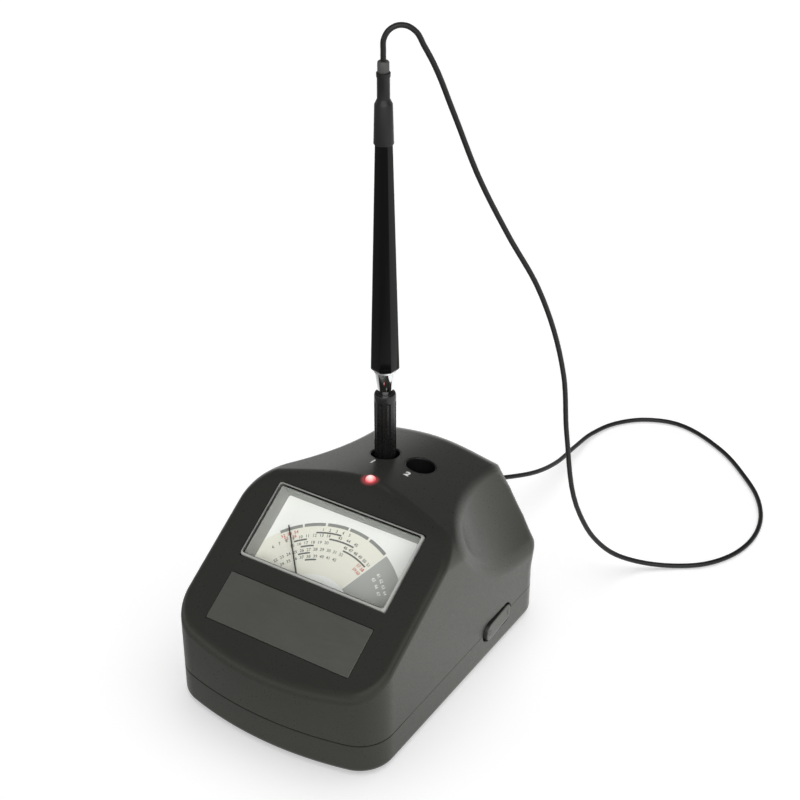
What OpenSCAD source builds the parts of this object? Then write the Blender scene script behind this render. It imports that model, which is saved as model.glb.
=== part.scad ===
// Bench gemstone tester: sloped-panel housing with a needle meter, two test wells and a corded pen probe.
// Millimetres, +Z up, the front panel faces -Y, the floor is z = 0 under the middle of the housing.

/* [Housing] */
// Width of the housing across the panel
body_w = 100; // [92:0.5:112]
// Depth from the bowed front to the back wall
body_d = 140.4; // [132:0.2:156]
// How far the front wall bows out in the middle
front_bow = 8.4; // [5:0.1:12]
// Upright corner radius at the front
corner_front = 15.6; // [12:0.1:20]
// Upright corner radius at the back
corner_rear = 12; // [9:0.1:16]
// Moulded wall thickness
wall = 2.5; // [2:0.1:3]
// Height of the rubber feet below the tray
foot_h = 1; // [0.8:0.1:2]
// Height of the parting line between tray and upper housing
part_z = 15.6; // [14:0.1:18]
// Slope of the front panel from level, degrees
panel_tilt = 31.67; // [29:0.01:34]
// Height of the panel plane over the middle of the housing
panel_z = 79.4; // [76:0.1:83]
// Roof height on the centre line behind the panel
roof_z = 83.9; // [81:0.1:87]
// Fall of the roof towards the back per millimetre
roof_fall = 0.16; // [0.1:0.01:0.2]
// Radius between roof and walls
shoulder_r = 9; // [6:0.5:12]
// Radius round the panel edge
panel_r = 3; // [2:0.1:4]
// Slope of the finger scoops from upright, degrees
scoop_tilt = 28; // [24:0.5:32]
// Distance of the scoop floor from the origin along its normal
scoop_reach = 60.2; // [58:0.1:64]
// Depth of the hollow across a scoop
scoop_dish = 1.6; // [0:0.1:3]

/* [Meter] */
// Place of the meter window's centre along Y
meter_y = -18.6; // [-20:0.1:-17]
// Width of the clear cover
cover_w = 70.8; // [66:0.1:74]
// Height of the clear cover up the panel
cover_h = 35.2; // [32:0.1:37]
// How far the cover stands out of the panel
cover_proud = 0.8; // [0.3:0.1:1.5]
// Thickness of the clear cover's face
cover_t = 2; // [1.5:0.1:2.5]
// Depth of the dial below the cover's face
dial_depth = 11; // [8:0.1:11.2]
// Distance of the needle pivot below the window's centre
pivot_drop = 29.7; // [28:0.1:31]
// Needle length from the pivot
needle_len = 42.4; // [40:0.1:43.5]
// Needle angle from straight up at rest, positive towards the right
needle_rest = -38.5; // [-45:0.5:-30]
// Depth of the meter case behind the panel
case_depth = 27; // [26:0.5:30]

/* [Plate, lamp and wells] */
// Width of the blank nameplate
plate_w = 69.2; // [60:0.1:72]
// Height of the nameplate up the panel
plate_h = 21.5; // [18:0.1:23]
// Distance of the nameplate's centre below the meter window's centre
plate_drop = 36.3; // [35.5:0.1:37]
// Thickness of the nameplate
plate_t = 0.8; // [0.5:0.1:1]
// Lamp diameter
lamp_d = 5; // [3:0.1:5.5]
// Place of the lamp along Y
lamp_y = 10.4; // [9:0.1:12]
// Test well diameter
well_d = 12.4; // [11.5:0.1:13]
// Half distance between the two wells
well_x = 8.8; // [8.6:0.1:10]
// Place of the wells along Y
well_y = 35.3; // [33:0.1:38]
// Height of the reference discs' tops
disc_z = 62; // [58:0.5:64]

/* [Power key and batteries] */
// Length of the key's window
key_len = 23.6; // [21:0.1:26]
// Height of the key's window
key_h = 9.6; // [8.5:0.1:11]
// Place of the key along Y
key_y = 32; // [30:0.5:34]
// Full swing of the key, degrees
key_swing = 5; // [4:0.5:8]
// Cell diameter
cell_d = 10.5; // [10.2:0.1:10.5]
// Cell length
cell_l = 44.5; // [43.5:0.1:44.5]

/* [Pen probe and cord] */
// Widest part of the black nose
nose_d = 9.3; // [8.5:0.1:10]
// Barrel width across flats at its lower end
barrel_lo = 11.8; // [10.5:0.1:12.5]
// Barrel width across flats at its upper end
barrel_hi = 6.9; // [6.4:0.1:7.6]
// Height of the barrel's lower end while the probe stands in its well
barrel_z = 121.3; // [119:0.1:124]
// Height of the barrel's upper end
barrel_top = 221; // [216:0.5:226]
// Height of the cap that the cord leaves
cap_z = 254; // [250:0.5:258]
// Cord diameter
cord_d = 2.2; // [1.8:0.1:2.6]
// Travel of the sprung tip
tip_travel = 1.2; // [0.8:0.1:1.5]

/* [Hidden] */
$fn = 48;
gap = 0.3;
run = 0.05;
half_w = body_w / 2;
front_y = -body_d / 2;
back_y = body_d / 2;
arc_r = (half_w * half_w + front_bow * front_bow) / (2 * front_bow);
arc_y = front_y + arc_r;
fc_x = half_w - corner_front;
fc_y = arc_y - sqrt(pow(arc_r - corner_front, 2) - fc_x * fc_x);
fc_a = asin(fc_x / (arc_r - corner_front));
rc_x = half_w - corner_rear;
rc_y = back_y - corner_rear;
roof_y = 8;
roof_gable = 0.26;
roof_soft = 5;
scoop_r = 4;
scoop_rise = 16.5;
scoop_len = 63;
scoop_mid = 33;
scoop_y = 12;
tray_z = foot_h;
sleeve_r = well_d / 2 + 0.8;
floor_z = tray_z + wall;
// Meter depths are measured along the panel's normal, zero on the panel
face_z = cover_proud;
dial_z = face_z - dial_depth;
dial_t = 0.8;
skirt_t = 1.4;
case_w = cover_w + 2 * (0.6 + 1.6);
case_top = cover_h / 2 + 2.4;
case_bot = -pivot_drop - 15.3;
case_lip = -wall - 1.2;
case_wall = 1.6;
case_floor = -case_depth + case_wall;
needle_z = dial_z + 1.2;
coil_hi = dial_z - 2.6;
coil_lo = coil_hi - 9.2;
frame_w = 40;
frame_l = 27;
frame_t = 2;
magnet_w = 30;
magnet_l = 26;
magnet_bore = 8;
bridge_w = 38;
bridge_l = 5;
frame_z = case_floor + frame_t;
bridge_z = needle_z + 1.5;
bridge_t = 1.2;
shaft_r = 0.5;
boss_r = 2.4;
ear_x = (case_w / 2 + half_w - wall) / 2;
ear_v = -8;
// Fasteners
post_x = 41;
post_front = -50;
post_rear = rc_y - 0.4;
post_r = 3.6;
seat_r = 4.4;
screw_r = 1.5;
head_r = 2.9;
head_h = 2.2;
case_screw_l = 20;
foot_r = 6;
foot_x = 31;
foot_front = -51;
foot_rear = 47;
// Battery bay
pitch = cell_d + 1;
bay_w = 3 * pitch + 2;
bay_y0 = 4;
bay_l = cell_l + 5;
door_w = bay_w + 1.4;
door_t = 2;
door_lip = 11;
rail = 1.2;
cell_z = floor_z + 0.4 + cell_d / 2;
// Board
board_w = 70;
board_l = 46;
board_y = front_y + 38.2;
board_z = 9;
board_t = 1.6;
chip_w = 16;
chip_l = 9;
hole_x = board_w / 2 - 4;
hole_y = board_l / 2 - 4;
board_head_r = 2;
// Key
key_z = part_z - 0.6;
key_face = half_w + 0.45;
key_pin_x = half_w - 4.5;
key_gap = 0.8;
pin_r = 1;
sw_in = half_w - 17;
sw_out = half_w - 6.5;
// Cord outlet
exit_x = -12;
exit_z = 27;
neck_r = 3.2;
gland_len = 11;
// Probe
probe_x = -well_x;
probe_y = well_y;
tip_r = 0.6;
tip_z = disc_z + run;
nose_z = disc_z + 3.5;
shoulder_z = nose_z + 6.5;
nose_top = 109.5;
bore_r = 2.6;
bore_top = 96;
stop_z = 84;
cone_top = barrel_z - 1.2;
sleeve_mid = 237.3;
sleeve_hi = 249.6;

// Housing form
function round_cut(a, b, r) = min(-r, max(a, b)) + norm([max(r + a, 0), max(r + b, 0)]);
function front_corner(x, y) = x * (arc_y - fc_y) > fc_x * (arc_y - y);
function outline_front(x, y) =
  front_corner(x, y) ? norm([x - fc_x, y - fc_y]) - corner_front : norm([x, y - arc_y]) - arc_r;
function side_dist(x, y) = y < fc_y ? outline_front(x, y) : x - half_w;
function roof_drop(x) = sqrt(pow(roof_gable * x, 2) + roof_soft * roof_soft) - roof_soft;
function roof_h(x, y) = roof_z - roof_fall * (y - roof_y) - roof_drop(x);
function panel_h(y) = panel_z + tan(panel_tilt) * y;
function panel_dist(p) = (p.z - panel_h(p.y)) * cos(panel_tilt);
function scoop_arc(y) = pow(max(back_y - y, 0) / scoop_len, 2.5);
function scoop_across(x, z) = cos(scoop_tilt) * z - sin(scoop_tilt) * x - scoop_mid;
function scoop_hollow(x, z) = scoop_dish * max(-1, 1 - pow(scoop_across(x, z) / 20, 2));
function scoop_h(x, y, z) = scoop_reach + scoop_rise * scoop_arc(y) - scoop_hollow(x, z);
function scoop_lean(y) = sqrt(1.03 + pow(2.5 * scoop_rise / scoop_len * pow(scoop_arc(y), 0.6), 2));
function scoop_dist(x, y, z) =
  (cos(scoop_tilt) * x + sin(scoop_tilt) * z - scoop_h(x, y, z)) / scoop_lean(y);
function hump_dist(x, y, z) = round_cut(side_dist(x, y), 0.97 * (z - roof_h(x, y)), shoulder_r);
function grip_dist(x, y, z) = round_cut(hump_dist(x, y, z), scoop_dist(x, y, z), scoop_r);
function ramp(a, b, t) = max(0, min(1, (t - a) / (b - a)));
function rear_soft(z) = corner_rear + (scoop_r + 1 - corner_rear) * ramp(24, 46, z)
  + (shoulder_r - scoop_r - 1) * ramp(58, 70, z);
function shell_dist(p) = round_cut(grip_dist(abs(p.x), p.y, p.z), p.y - back_y, rear_soft(p.z));
function form_dist(p) = round_cut(shell_dist(p), panel_dist(p), panel_r);

// Points round the plan outline, set in by d
function plan_half(d) = concat(
  [for (k = [0:4]) let (a = fc_a * k / 5) [(arc_r - d) * sin(a), arc_y - (arc_r - d) * cos(a)]],
  [for (k = [0:6]) let (a = fc_a - 90 + (90 - fc_a) * k / 6)
    [fc_x + (corner_front - d) * cos(a), fc_y + (corner_front - d) * sin(a)]],
  [for (k = [1:8]) [half_w - d, fc_y + (scoop_y - fc_y) * k / 8]],
  [for (k = [1:13]) [half_w - d, scoop_y + (rc_y - scoop_y) * k / 14]],
  [for (k = [0:9]) let (a = 10 * k)
    [rc_x + (corner_rear - d) * cos(a), rc_y + (corner_rear - d) * sin(a)]],
  [for (k = [1:7]) [rc_x * (1 - k / 18), back_y - d]],
  [for (k = [1:5]) [rc_x * 11 / 18 * (1 - k / 5), back_y - d]]);
function plan_ring(d) = let (h = plan_half(d), n = len(h))
  concat(h, [for (k = [n - 2:-1:1]) [-h[k].x, h[k].y]]);

// Meridians of the housing: from the parting line over the wall and roof to the middle of the panel
heart = [0, -6, part_z];
pole = [0, -28, panel_h(-28)];
function unit(v) = v / norm(v);
function pick_dist(p, full) = full ? form_dist(p) : shell_dist(p);
function cast(d, lo, hi, n, off, full) = n == 0 ? heart + d * (lo + hi) / 2 :
  pick_dist(heart + d * (lo + hi) / 2, full) + off < 0 ?
    cast(d, (lo + hi) / 2, hi, n - 1, off, full) : cast(d, lo, (lo + hi) / 2, n - 1, off, full);
function hit(d, off, full) = cast(d, 3, 140, 22, off, full);
function steer(e, w, a) = e * cos(a) + w * sin(a);
function edge_at(e, w, lo, hi, n, off) = n == 0 ? (lo + hi) / 2 :
  panel_dist(hit(steer(e, w, (lo + hi) / 2), off, false)) + off < 0 ?
    edge_at(e, w, (lo + hi) / 2, hi, n - 1, off) : edge_at(e, w, lo, (lo + hi) / 2, n - 1, off);
function on_roof(p) = let (x = abs(p.x))
  0.97 * (p.z - roof_h(x, p.y)) > max(side_dist(x, p.y), p.y - back_y, scoop_dist(x, p.y, p.z));
function ridge_at(e, w, lo, hi, n, off) = n == 0 ? (lo + hi) / 2 :
  on_roof(hit(steer(e, w, (lo + hi) / 2), off, false)) ?
    ridge_at(e, w, lo, (lo + hi) / 2, n - 1, off) : ridge_at(e, w, (lo + hi) / 2, hi, n - 1, off);
function steps(a, b, n) = [for (k = [1:n]) a + (b - a) * k / n];
function meridian(q, off, count, soft) = let (
    foot = [q.x, q.y, part_z],
    e = unit(foot - heart),
    t = unit(pole - heart),
    w = unit(t - e * (e * t)),
    edge = edge_at(e, w, 0, acos(e * t), 13, off),
    top = edge - soft,
    ridge = min(0.86 * top, ridge_at(e, w, 0, edge, 10, off)),
    band = min(4.5, 0.4 * (top - ridge)))
  concat([foot], [for (a = concat(
      steps(0, ridge - band, count[0]), steps(ridge - band, ridge + band, count[1]),
      steps(ridge + band, top, count[2]), [edge - soft / 3, edge + soft / 3, edge + soft, edge + 2.2 * soft]))
    hit(steer(e, w, a), off, true)]);
function fold(p, a, b, c, d, flip) = norm(p[a] - p[c]) < norm(p[b] - p[d]) ?
  (flip ? [[a, c, b], [a, d, c]] : [[a, b, c], [a, c, d]]) :
  (flip ? [[a, d, b], [b, d, c]] : [[a, b, d], [b, c, d]]);
function skin_faces(p, n, k, base, flip) = [for (i = [0:n - 1], j = [0:k - 2]) let (
    a = base + i * k + j,
    b = base + ((i + 1) % n) * k + j)
  each fold(p, a, a + 1, b + 1, b, flip)];
function pole_faces(n, k, base, tip, flip) = [for (i = [0:n - 1]) let (
    a = base + i * k + k - 1,
    b = base + ((i + 1) % n) * k + k - 1)
  flip ? [a, b, tip] : [a, tip, b]];

module housing_shell() {
  n = len(plan_ring(0));
  many = [14, 5, 8];
  few = [5, 2, 3];
  ko = 27 + 5;
  ki = 10 + 5;
  outer = [for (q = plan_ring(0)) meridian(q, 0, many, 2.4)];
  inner = [for (q = plan_ring(wall)) meridian(q, wall, few, 2.4)];
  low = wall / cos(panel_tilt);
  pts = concat([for (m = outer, p = m) p], [for (m = inner, p = m) p], [pole, pole - [0, 0, low]]);
  rim = [for (i = [0:n - 1], s = [0, 1]) let (
      a = i * ko,
      b = ((i + 1) % n) * ko,
      c = n * ko + i * ki,
      d = n * ko + ((i + 1) % n) * ki)
    s == 0 ? [a, b, d] : [a, d, c]];
  tip = n * (ko + ki);
  polyhedron(points = pts, faces = concat(
    skin_faces(pts, n, ko, 0, false), pole_faces(n, ko, 0, tip, false),
    skin_faces(pts, n, ki, n * ko, true), pole_faces(n, ki, n * ko, tip + 1, true), rim), convexity = 8);
}

// Exact plan outline, set in by d
module plan(d) {
  tx = fc_x * (arc_r - d) / (arc_r - corner_front);
  intersection() {
    translate([0, arc_y]) circle(arc_r - d, $fn = 240);
    translate([-tx, front_y]) square([2 * tx, rc_y - front_y]);
  }
  translate([d - half_w, fc_y]) square([2 * (half_w - d), rc_y - fc_y]);
  translate([-rc_x, fc_y]) square([2 * rc_x, back_y - d - fc_y]);
  for (s = [-1, 1]) {
    translate([s * fc_x, fc_y]) circle(corner_front - d);
    translate([s * rc_x, rc_y]) circle(corner_rear - d);
  }
}

// Places
module on_panel(v = 0) {
  translate([0, meter_y, panel_h(meter_y)]) rotate([panel_tilt, 0, 0]) translate([0, v, 0]) children();
}
module at_pivot() {
  on_panel(-pivot_drop) children();
}
module at_key() {
  translate([0, key_y, key_z]) children();
}
module at_wells() {
  for (s = [-1, 1]) translate([s * well_x, well_y, 0]) children();
}
module at_posts() {
  for (s = [-1, 1], y = [post_front, post_rear]) translate([s * post_x, y, 0]) children();
}
module at_feet() {
  for (s = [-1, 1], y = [foot_front, foot_rear]) translate([s * foot_x, y, 0]) children();
}
module at_board_holes() {
  for (s = [-1, 1], t = [-1, 1]) translate([s * hole_x, board_y + t * hole_y, 0]) children();
}
module at_probe() {
  translate([probe_x, probe_y, 0]) children();
}
module tube(r_out, r_in, h) {
  difference() {
    cylinder(r = r_out, h = h);
    translate([0, 0, -1]) cylinder(r = r_in, h = h + 2);
  }
}
module slab(w, l, h) {
  translate([-w / 2, -l / 2, 0]) cube([w, l, h]);
}
module stadium(l, h) {
  square([l - h, h], center = true);
  for (s = [-1, 1]) translate([s * (l - h) / 2, 0]) circle(h / 2);
}
module key_window(grow, x0, depth) {
  at_key() translate([x0, 0, 0]) rotate([90, 0, 90]) linear_extrude(depth)
    stadium(key_len + 2 * grow, key_h + 2 * grow);
}

// Upper housing
module roof_plane_cut(x, y, off) {
  sx = -roof_gable * roof_gable * x / sqrt(pow(roof_gable * x, 2) + roof_soft * roof_soft);
  translate([x, y, roof_h(x, y) - off]) rotate([-atan(roof_fall), -atan(sx), 0]) slab(60, 60, 40);
}
module front_posts() {
  for (s = [-1, 1]) difference() {
    translate([s * post_x, post_front, part_z]) cylinder(r = post_r, h = 60);
    translate([0, post_front, panel_h(post_front) - wall * 0.6]) rotate([panel_tilt, 0, 0])
      slab(120, 60, 60);
  }
}
module rear_posts() {
  for (s = [0, 1]) mirror([s, 0, 0]) difference() {
    translate([post_x, post_rear, part_z]) cylinder(r = post_r, h = 60);
    translate([cos(scoop_tilt), 0, sin(scoop_tilt)] * (scoop_reach - wall - scoop_dish / 2 + 0.6))
      translate([0, post_rear, 0]) rotate([0, 90 - scoop_tilt, 0]) slab(160, 60, 60);
  }
}
module meter_bosses() {
  for (s = [-1, 1]) on_panel(ear_v) translate([s * ear_x, 0, case_lip - 4])
    cylinder(r = boss_r, h = 5 - wall - case_lip);
}
module upper_housing() {
  color([0.16, 0.16, 0.15]) difference() {
    union() {
      housing_shell();
      front_posts();
      rear_posts();
      meter_bosses();
    }
    on_panel() translate([0, 0, -10]) slab(cover_w + 2 * gap, cover_h + 2 * gap, 20);
    on_panel(-plate_drop) translate([0, 0, -plate_t - 0.1]) slab(plate_w + gap, plate_h + gap, 10);
    at_wells() translate([0, 0, disc_z - 6]) cylinder(r = sleeve_r + run, h = 40);
    lamp_place() translate([0, 0, -8]) cylinder(r = lamp_d / 2 + 0.15, h = 16);
    key_window(0, half_w - 8, 16);
    translate([exit_x, back_y - 8, exit_z]) rotate([-90, 0, 0]) cylinder(r = neck_r + 0.1, h = 16);
    at_posts() translate([0, 0, part_z - 1]) cylinder(r = screw_r, h = 13);
    for (s = [-1, 1]) on_panel(ear_v) translate([s * ear_x, 0, case_lip - 5])
      cylinder(r = 0.9, h = 4.5);
  }
}

// Base tray
module tray_loft() {
  levels = [[tray_z, 1.5], [tray_z + 0.5, 0.7], [tray_z + 1.6, 0.15], [tray_z + 3, 0], [part_z - gap, 0]];
  n = len(plan_ring(0));
  pts = [for (l = levels, p = plan_ring(l[1])) [p.x, p.y, l[0]]];
  sides = [for (j = [0:3], i = [0:n - 1], s = [0, 1]) let (
      a = j * n + i,
      b = j * n + (i + 1) % n)
    s == 0 ? [a, a + n, b + n] : [a, b + n, b]];
  polyhedron(points = pts, faces = concat(
    [[for (i = [0:n - 1]) i]], [[for (i = [n - 1:-1:0]) 4 * n + i]], sides), convexity = 4);
}
module bay_walls() {
  translate([0, bay_y0 + bay_l / 2, floor_z - 0.5]) difference() {
    slab(bay_w + 3, bay_l + 3, part_z - floor_z);
    translate([0, 0, -1]) slab(bay_w, bay_l, 30);
  }
}
module door_opening(grow) {
  y1 = back_y - bay_y0 + 20;
  translate([-door_w / 2 - grow, bay_y0 - grow, tray_z - 5])
    cube([door_w + 2 * grow, y1, 5 + 1 + grow]);
  translate([-door_w / 2 - rail - grow, bay_y0 - grow, tray_z + 1 - run])
    cube([door_w + 2 * rail + 2 * grow, y1, 10]);
}
module base_tray() {
  color([0.15, 0.15, 0.14]) difference() {
    union() {
      difference() {
        tray_loft();
        translate([0, 0, floor_z]) linear_extrude(40) plan(wall);
      }
      difference() {
        translate([0, 0, part_z - 2.5]) linear_extrude(4.3) difference() {
          plan(wall + 0.35);
          plan(wall + 1.6);
        }
        translate([half_w - 10, key_y - key_len / 2 - 2, part_z - 5]) cube([20, key_len + 4, 20]);
      }
      translate([0, 0, part_z - 2.5]) linear_extrude(2.2) difference() {
        plan(wall - 0.5);
        plan(wall + 1.6);
      }
      at_posts() translate([0, 0, floor_z - 0.5]) cylinder(r = seat_r, h = part_z - floor_z + 0.3);
      at_board_holes() translate([0, 0, floor_z - 0.5]) cylinder(r = 2.6, h = board_z - floor_z + 0.5);
      bay_walls();
      at_key() translate([sw_in + 1, -7, floor_z - 0.5 - key_z])
        cube([sw_out - sw_in - 2.8, 14, key_z - 6 - floor_z + 0.5]);
    }
    translate([0, 0, -0.01]) door_cut();
    key_window(0, half_w - 8, 16);
    at_posts() translate([0, 0, tray_z - 1]) cylinder(r = head_r + 0.3, h = 5.5);
    at_posts() translate([0, 0, tray_z - 1]) cylinder(r = screw_r + 0.2, h = 30);
    at_feet() translate([0, 0, tray_z - 1]) cylinder(r = foot_r + 0.15, h = 2.2);
    at_board_holes() translate([0, 0, floor_z + 0.5]) cylinder(r = 0.9, h = 20);
    at_board_holes() translate([0, 0, board_z]) cylinder(r = board_head_r + gap, h = 20);
  }
}
module door_cut() {
  door_opening(gap);
  translate([-door_w / 2 - gap, back_y - wall - 1.5, tray_z - 5])
    cube([door_w + 2 * gap, 10, 5 + door_lip + gap]);
}
module battery_door() {
  color([0.15, 0.15, 0.14]) {
    translate([-door_w / 2, bay_y0, tray_z]) cube([door_w, back_y - bay_y0, 1.2]);
    translate([-door_w / 2 - rail, bay_y0, tray_z + 1])
      cube([door_w + 2 * rail, back_y - wall - 3 - bay_y0, 1]);
    difference() {
      translate([-door_w / 2, back_y - wall, tray_z]) cube([door_w, wall, door_lip]);
      for (k = [-2:2]) translate([-9, back_y + 0.3, tray_z + door_lip / 2 + 1.6 * k])
        rotate([0, 90, 0]) cylinder(r = 0.7, h = 18, $fn = 24);
    }
  }
}
module rubber_feet() {
  color([0.08, 0.08, 0.08]) at_feet() {
    cylinder(r1 = foot_r - 0.5, r2 = foot_r, h = 0.6);
    translate([0, 0, 0.6]) cylinder(r = foot_r, h = foot_h + 0.55);
  }
}
module cross_screw(r, head, hh, l) {
  difference() {
    union() {
      cylinder(r = head, h = hh);
      translate([0, 0, hh - 0.1]) cylinder(r = r, h = l - hh + 0.1);
    }
    for (a = [0, 90]) rotate([0, 0, a]) translate([0, 0, -1]) slab(head * 1.1, 0.7, 2);
  }
}
module case_screws() {
  color([0.6, 0.6, 0.62]) at_posts() translate([0, 0, tray_z + head_h])
    cross_screw(screw_r - run, head_r, head_h, case_screw_l);
}

// Batteries
module battery_cells() {
  color([0.2, 0.35, 0.55]) for (k = [-1:1]) {
    flip = k == 0 ? -1 : 1;
    translate([k * pitch, bay_y0 + bay_l / 2, cell_z]) rotate([-90 * flip, 0, 0]) {
      translate([0, 0, -cell_l / 2]) cylinder(r = cell_d / 2, h = cell_l - 0.9);
      translate([0, 0, cell_l / 2 - 1]) cylinder(r = 1.9, h = 1);
    }
  }
}
module battery_contacts() {
  color([0.75, 0.72, 0.6]) for (k = [-1:1], s = [-1, 1])
    translate([k * pitch, bay_y0 + bay_l / 2 + s * (bay_l / 2 - 0.55), cell_z]) rotate([90, 0, 0]) {
      translate([0, 0, -0.25]) linear_extrude(0.5) square([8, 8], center = true);
      scale([1, 1, s]) translate([0, 0, 0.2])
        cylinder(r1 = 2.6, r2 = 1.4, h = (bay_l - cell_l) / 2 - 1.1);
    }
}

// Circuit board
module main_board() {
  color([0.1, 0.35, 0.2]) difference() {
    translate([0, board_y, board_z]) slab(board_w, board_l, board_t);
    at_board_holes() translate([0, 0, board_z - 1]) cylinder(r = 1.2, h = 4);
    at_posts() translate([0, 0, board_z - 1]) cylinder(r = seat_r + gap, h = 4);
  }
}
module board_parts() {
  top = board_z + board_t;
  color([0.12, 0.12, 0.13]) {
    translate([-6, board_y + 4, top]) slab(chip_w, chip_l, 2.2);
    translate([chip_w, board_y - 8, top]) slab(chip_l, 6, 1.8);
    translate([-20, board_y - 10, top]) slab(9.5, 9.5, 4.5);
    translate([0, board_y - 16, top]) slab(14, 5, 5.5);
    for (k = [0:2]) translate([12 + 7 * k, board_y + 10, top]) cylinder(r = 2.5, h = 6);
  }
}
module board_screws() {
  color([0.6, 0.6, 0.62]) at_board_holes() translate([0, 0, board_z + board_t + 1.2]) mirror([0, 0, 1])
    cross_screw(0.85, board_head_r, 1.2, 6);
}

// Meter
module meter_case() {
  v = (case_top + case_bot) / 2;
  l = case_top - case_bot;
  color([0.1, 0.1, 0.1]) on_panel(v) difference() {
    union() {
      translate([0, 0, -case_depth]) slab(case_w, l, case_depth + case_lip);
      translate([0, ear_v - v, case_lip - 6]) slab(2 * (ear_x + boss_r), 8, 1.9);
    }
    difference() {
      translate([0, 0, case_floor]) slab(case_w - 2 * case_wall, l - 2 * case_wall, 60);
      for (s = [-1, 1]) translate([s * (case_w / 2 - case_wall - 0.8), case_top - v - 20, -case_depth])
        slab(1.8, 40, case_depth + dial_z - dial_t);
    }
    for (s = [-1, 1]) translate([s * ear_x, ear_v - v, -20]) cylinder(r = 1.2, h = 30);
  }
}
module meter_screws() {
  color([0.6, 0.6, 0.62]) for (s = [-1, 1]) on_panel(ear_v) translate([s * ear_x, 0, case_lip - 7.2])
    cross_screw(0.85, 2, 1.2, 6.2);
}
module meter_cover() {
  color([0.85, 0.9, 0.92, 0.35]) on_panel() difference() {
    translate([0, 0, dial_z + 0.05]) slab(cover_w, cover_h, dial_depth - 0.05);
    translate([0, 0, dial_z - 1])
      slab(cover_w - 2 * skirt_t, cover_h - 2 * skirt_t, dial_depth + 1 - cover_t);
    translate([0, -cover_h / 2, dial_z - 1]) slab(cover_w - 2 * skirt_t, 10, 5.2);
  }
}
module dial_plate() {
  l = cover_h / 2 + 1.8 + pivot_drop - 8.5;
  color([0.93, 0.93, 0.88]) on_panel(cover_h / 2 + 0.3 - l / 2) translate([0, 0, dial_z - dial_t])
    slab(case_w - 2 * case_wall - 0.6, l, dial_t);
}
module meter_frame() {
  color([0.72, 0.6, 0.3]) at_pivot() translate([0, 0, case_floor]) difference() {
    slab(frame_w, frame_l, frame_t);
    translate([0, 0, -1]) cylinder(r = shaft_r + run, h = 5);
  }
}
module meter_magnet() {
  color([0.35, 0.35, 0.37]) at_pivot() translate([0, 0, frame_z]) difference() {
    slab(magnet_w, magnet_l, coil_hi - frame_z - 1.2);
    translate([0, 0, -1]) cylinder(r = magnet_bore, h = case_depth);
  }
}
module meter_core() {
  color([0.55, 0.55, 0.57]) at_pivot() {
    translate([0, 0, coil_lo + 1.4]) cylinder(r = 5, h = coil_hi - coil_lo - 2.8);
    for (s = [-1, 1]) translate([0, s * 3.6, frame_z]) cylinder(r = 0.8, h = coil_lo + 2 - frame_z);
  }
}
module meter_bridge() {
  color([0.72, 0.6, 0.3]) at_pivot() difference() {
    union() {
      translate([0, 0, bridge_z]) slab(bridge_w, bridge_l, bridge_t);
      for (s = [-1, 1]) translate([s * (bridge_w - 3) / 2, 0, frame_z])
        slab(3, bridge_l, bridge_z - frame_z + 0.5);
    }
    translate([0, 0, bridge_z - 1]) cylinder(r = shaft_r + run, h = 4);
  }
}
module turned() {
  at_pivot() rotate([0, 0, -needle_rest]) children();
}
module moving_coil() {
  color([0.7, 0.35, 0.15]) turned() difference() {
    translate([0, 0, coil_lo]) slab(13.6, 2.4, coil_hi - coil_lo);
    translate([0, 0, coil_lo + 0.9]) slab(11.4, 4, coil_hi - coil_lo - 1.8);
  }
}
module pivot_shafts() {
  color([0.75, 0.75, 0.77]) turned() {
    translate([0, 0, coil_hi]) cylinder(r = shaft_r, h = bridge_z + 0.9 - coil_hi);
    translate([0, 0, case_floor + 0.6]) cylinder(r = shaft_r, h = coil_lo - case_floor - 0.6);
  }
}
module pointer() {
  color([0.1, 0.1, 0.1]) turned() translate([0, 0, needle_z]) difference() {
    union() {
      translate([0, 0, -0.2]) cylinder(r = 1.7, h = 0.8);
      translate([-0.25, 0, 0]) cube([0.5, needle_len, 0.4]);
      translate([-0.4, -7.5, 0]) cube([0.8, 7.5, 0.4]);
      translate([0, -6.6, -0.3]) cylinder(r = 1.1, h = 1);
    }
    translate([0, 0, -1]) cylinder(r = shaft_r, h = 3);
  }
}
function spiral(a, w) = let (r = 1.1 + 3 * a / 1080 + w) [r * cos(a), r * sin(a)];
module hairspring() {
  color([0.75, 0.6, 0.3]) turned() translate([0, 0, coil_hi + 0.5]) difference() {
    union() {
      linear_extrude(0.5) polygon(concat([for (k = [0:54]) spiral(20 * k, 0)],
        [for (k = [54:-1:0]) spiral(20 * k, 0.22)]));
      cylinder(r = 1.25, h = 0.5);
    }
    translate([0, 0, -1]) cylinder(r = shaft_r, h = 3);
  }
}

// Nameplate and lamp
module nameplate() {
  color([0.3, 0.3, 0.3]) on_panel(-plate_drop) translate([0, 0, -plate_t - 0.1])
    slab(plate_w, plate_h, plate_t);
}
module lamp_place() {
  translate([0, lamp_y, roof_h(0, lamp_y)]) rotate([12, 0, 0]) children();
}
module lamp() {
  color([0.9, 0.12, 0.12]) lamp_place() {
    translate([0, 0, -6]) cylinder(r = lamp_d / 2, h = 4.6);
    translate([0, 0, -1.4]) intersection() {
      sphere(lamp_d / 2);
      cylinder(r = lamp_d, h = lamp_d);
    }
    translate([0, 0, -7]) cylinder(r = lamp_d / 2 + 0.45, h = 1.2);
    for (s = [-1, 1]) translate([s * 1.27, 0, -16]) cylinder(r = 0.3, h = 9.5, $fn = 24);
  }
}

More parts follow.
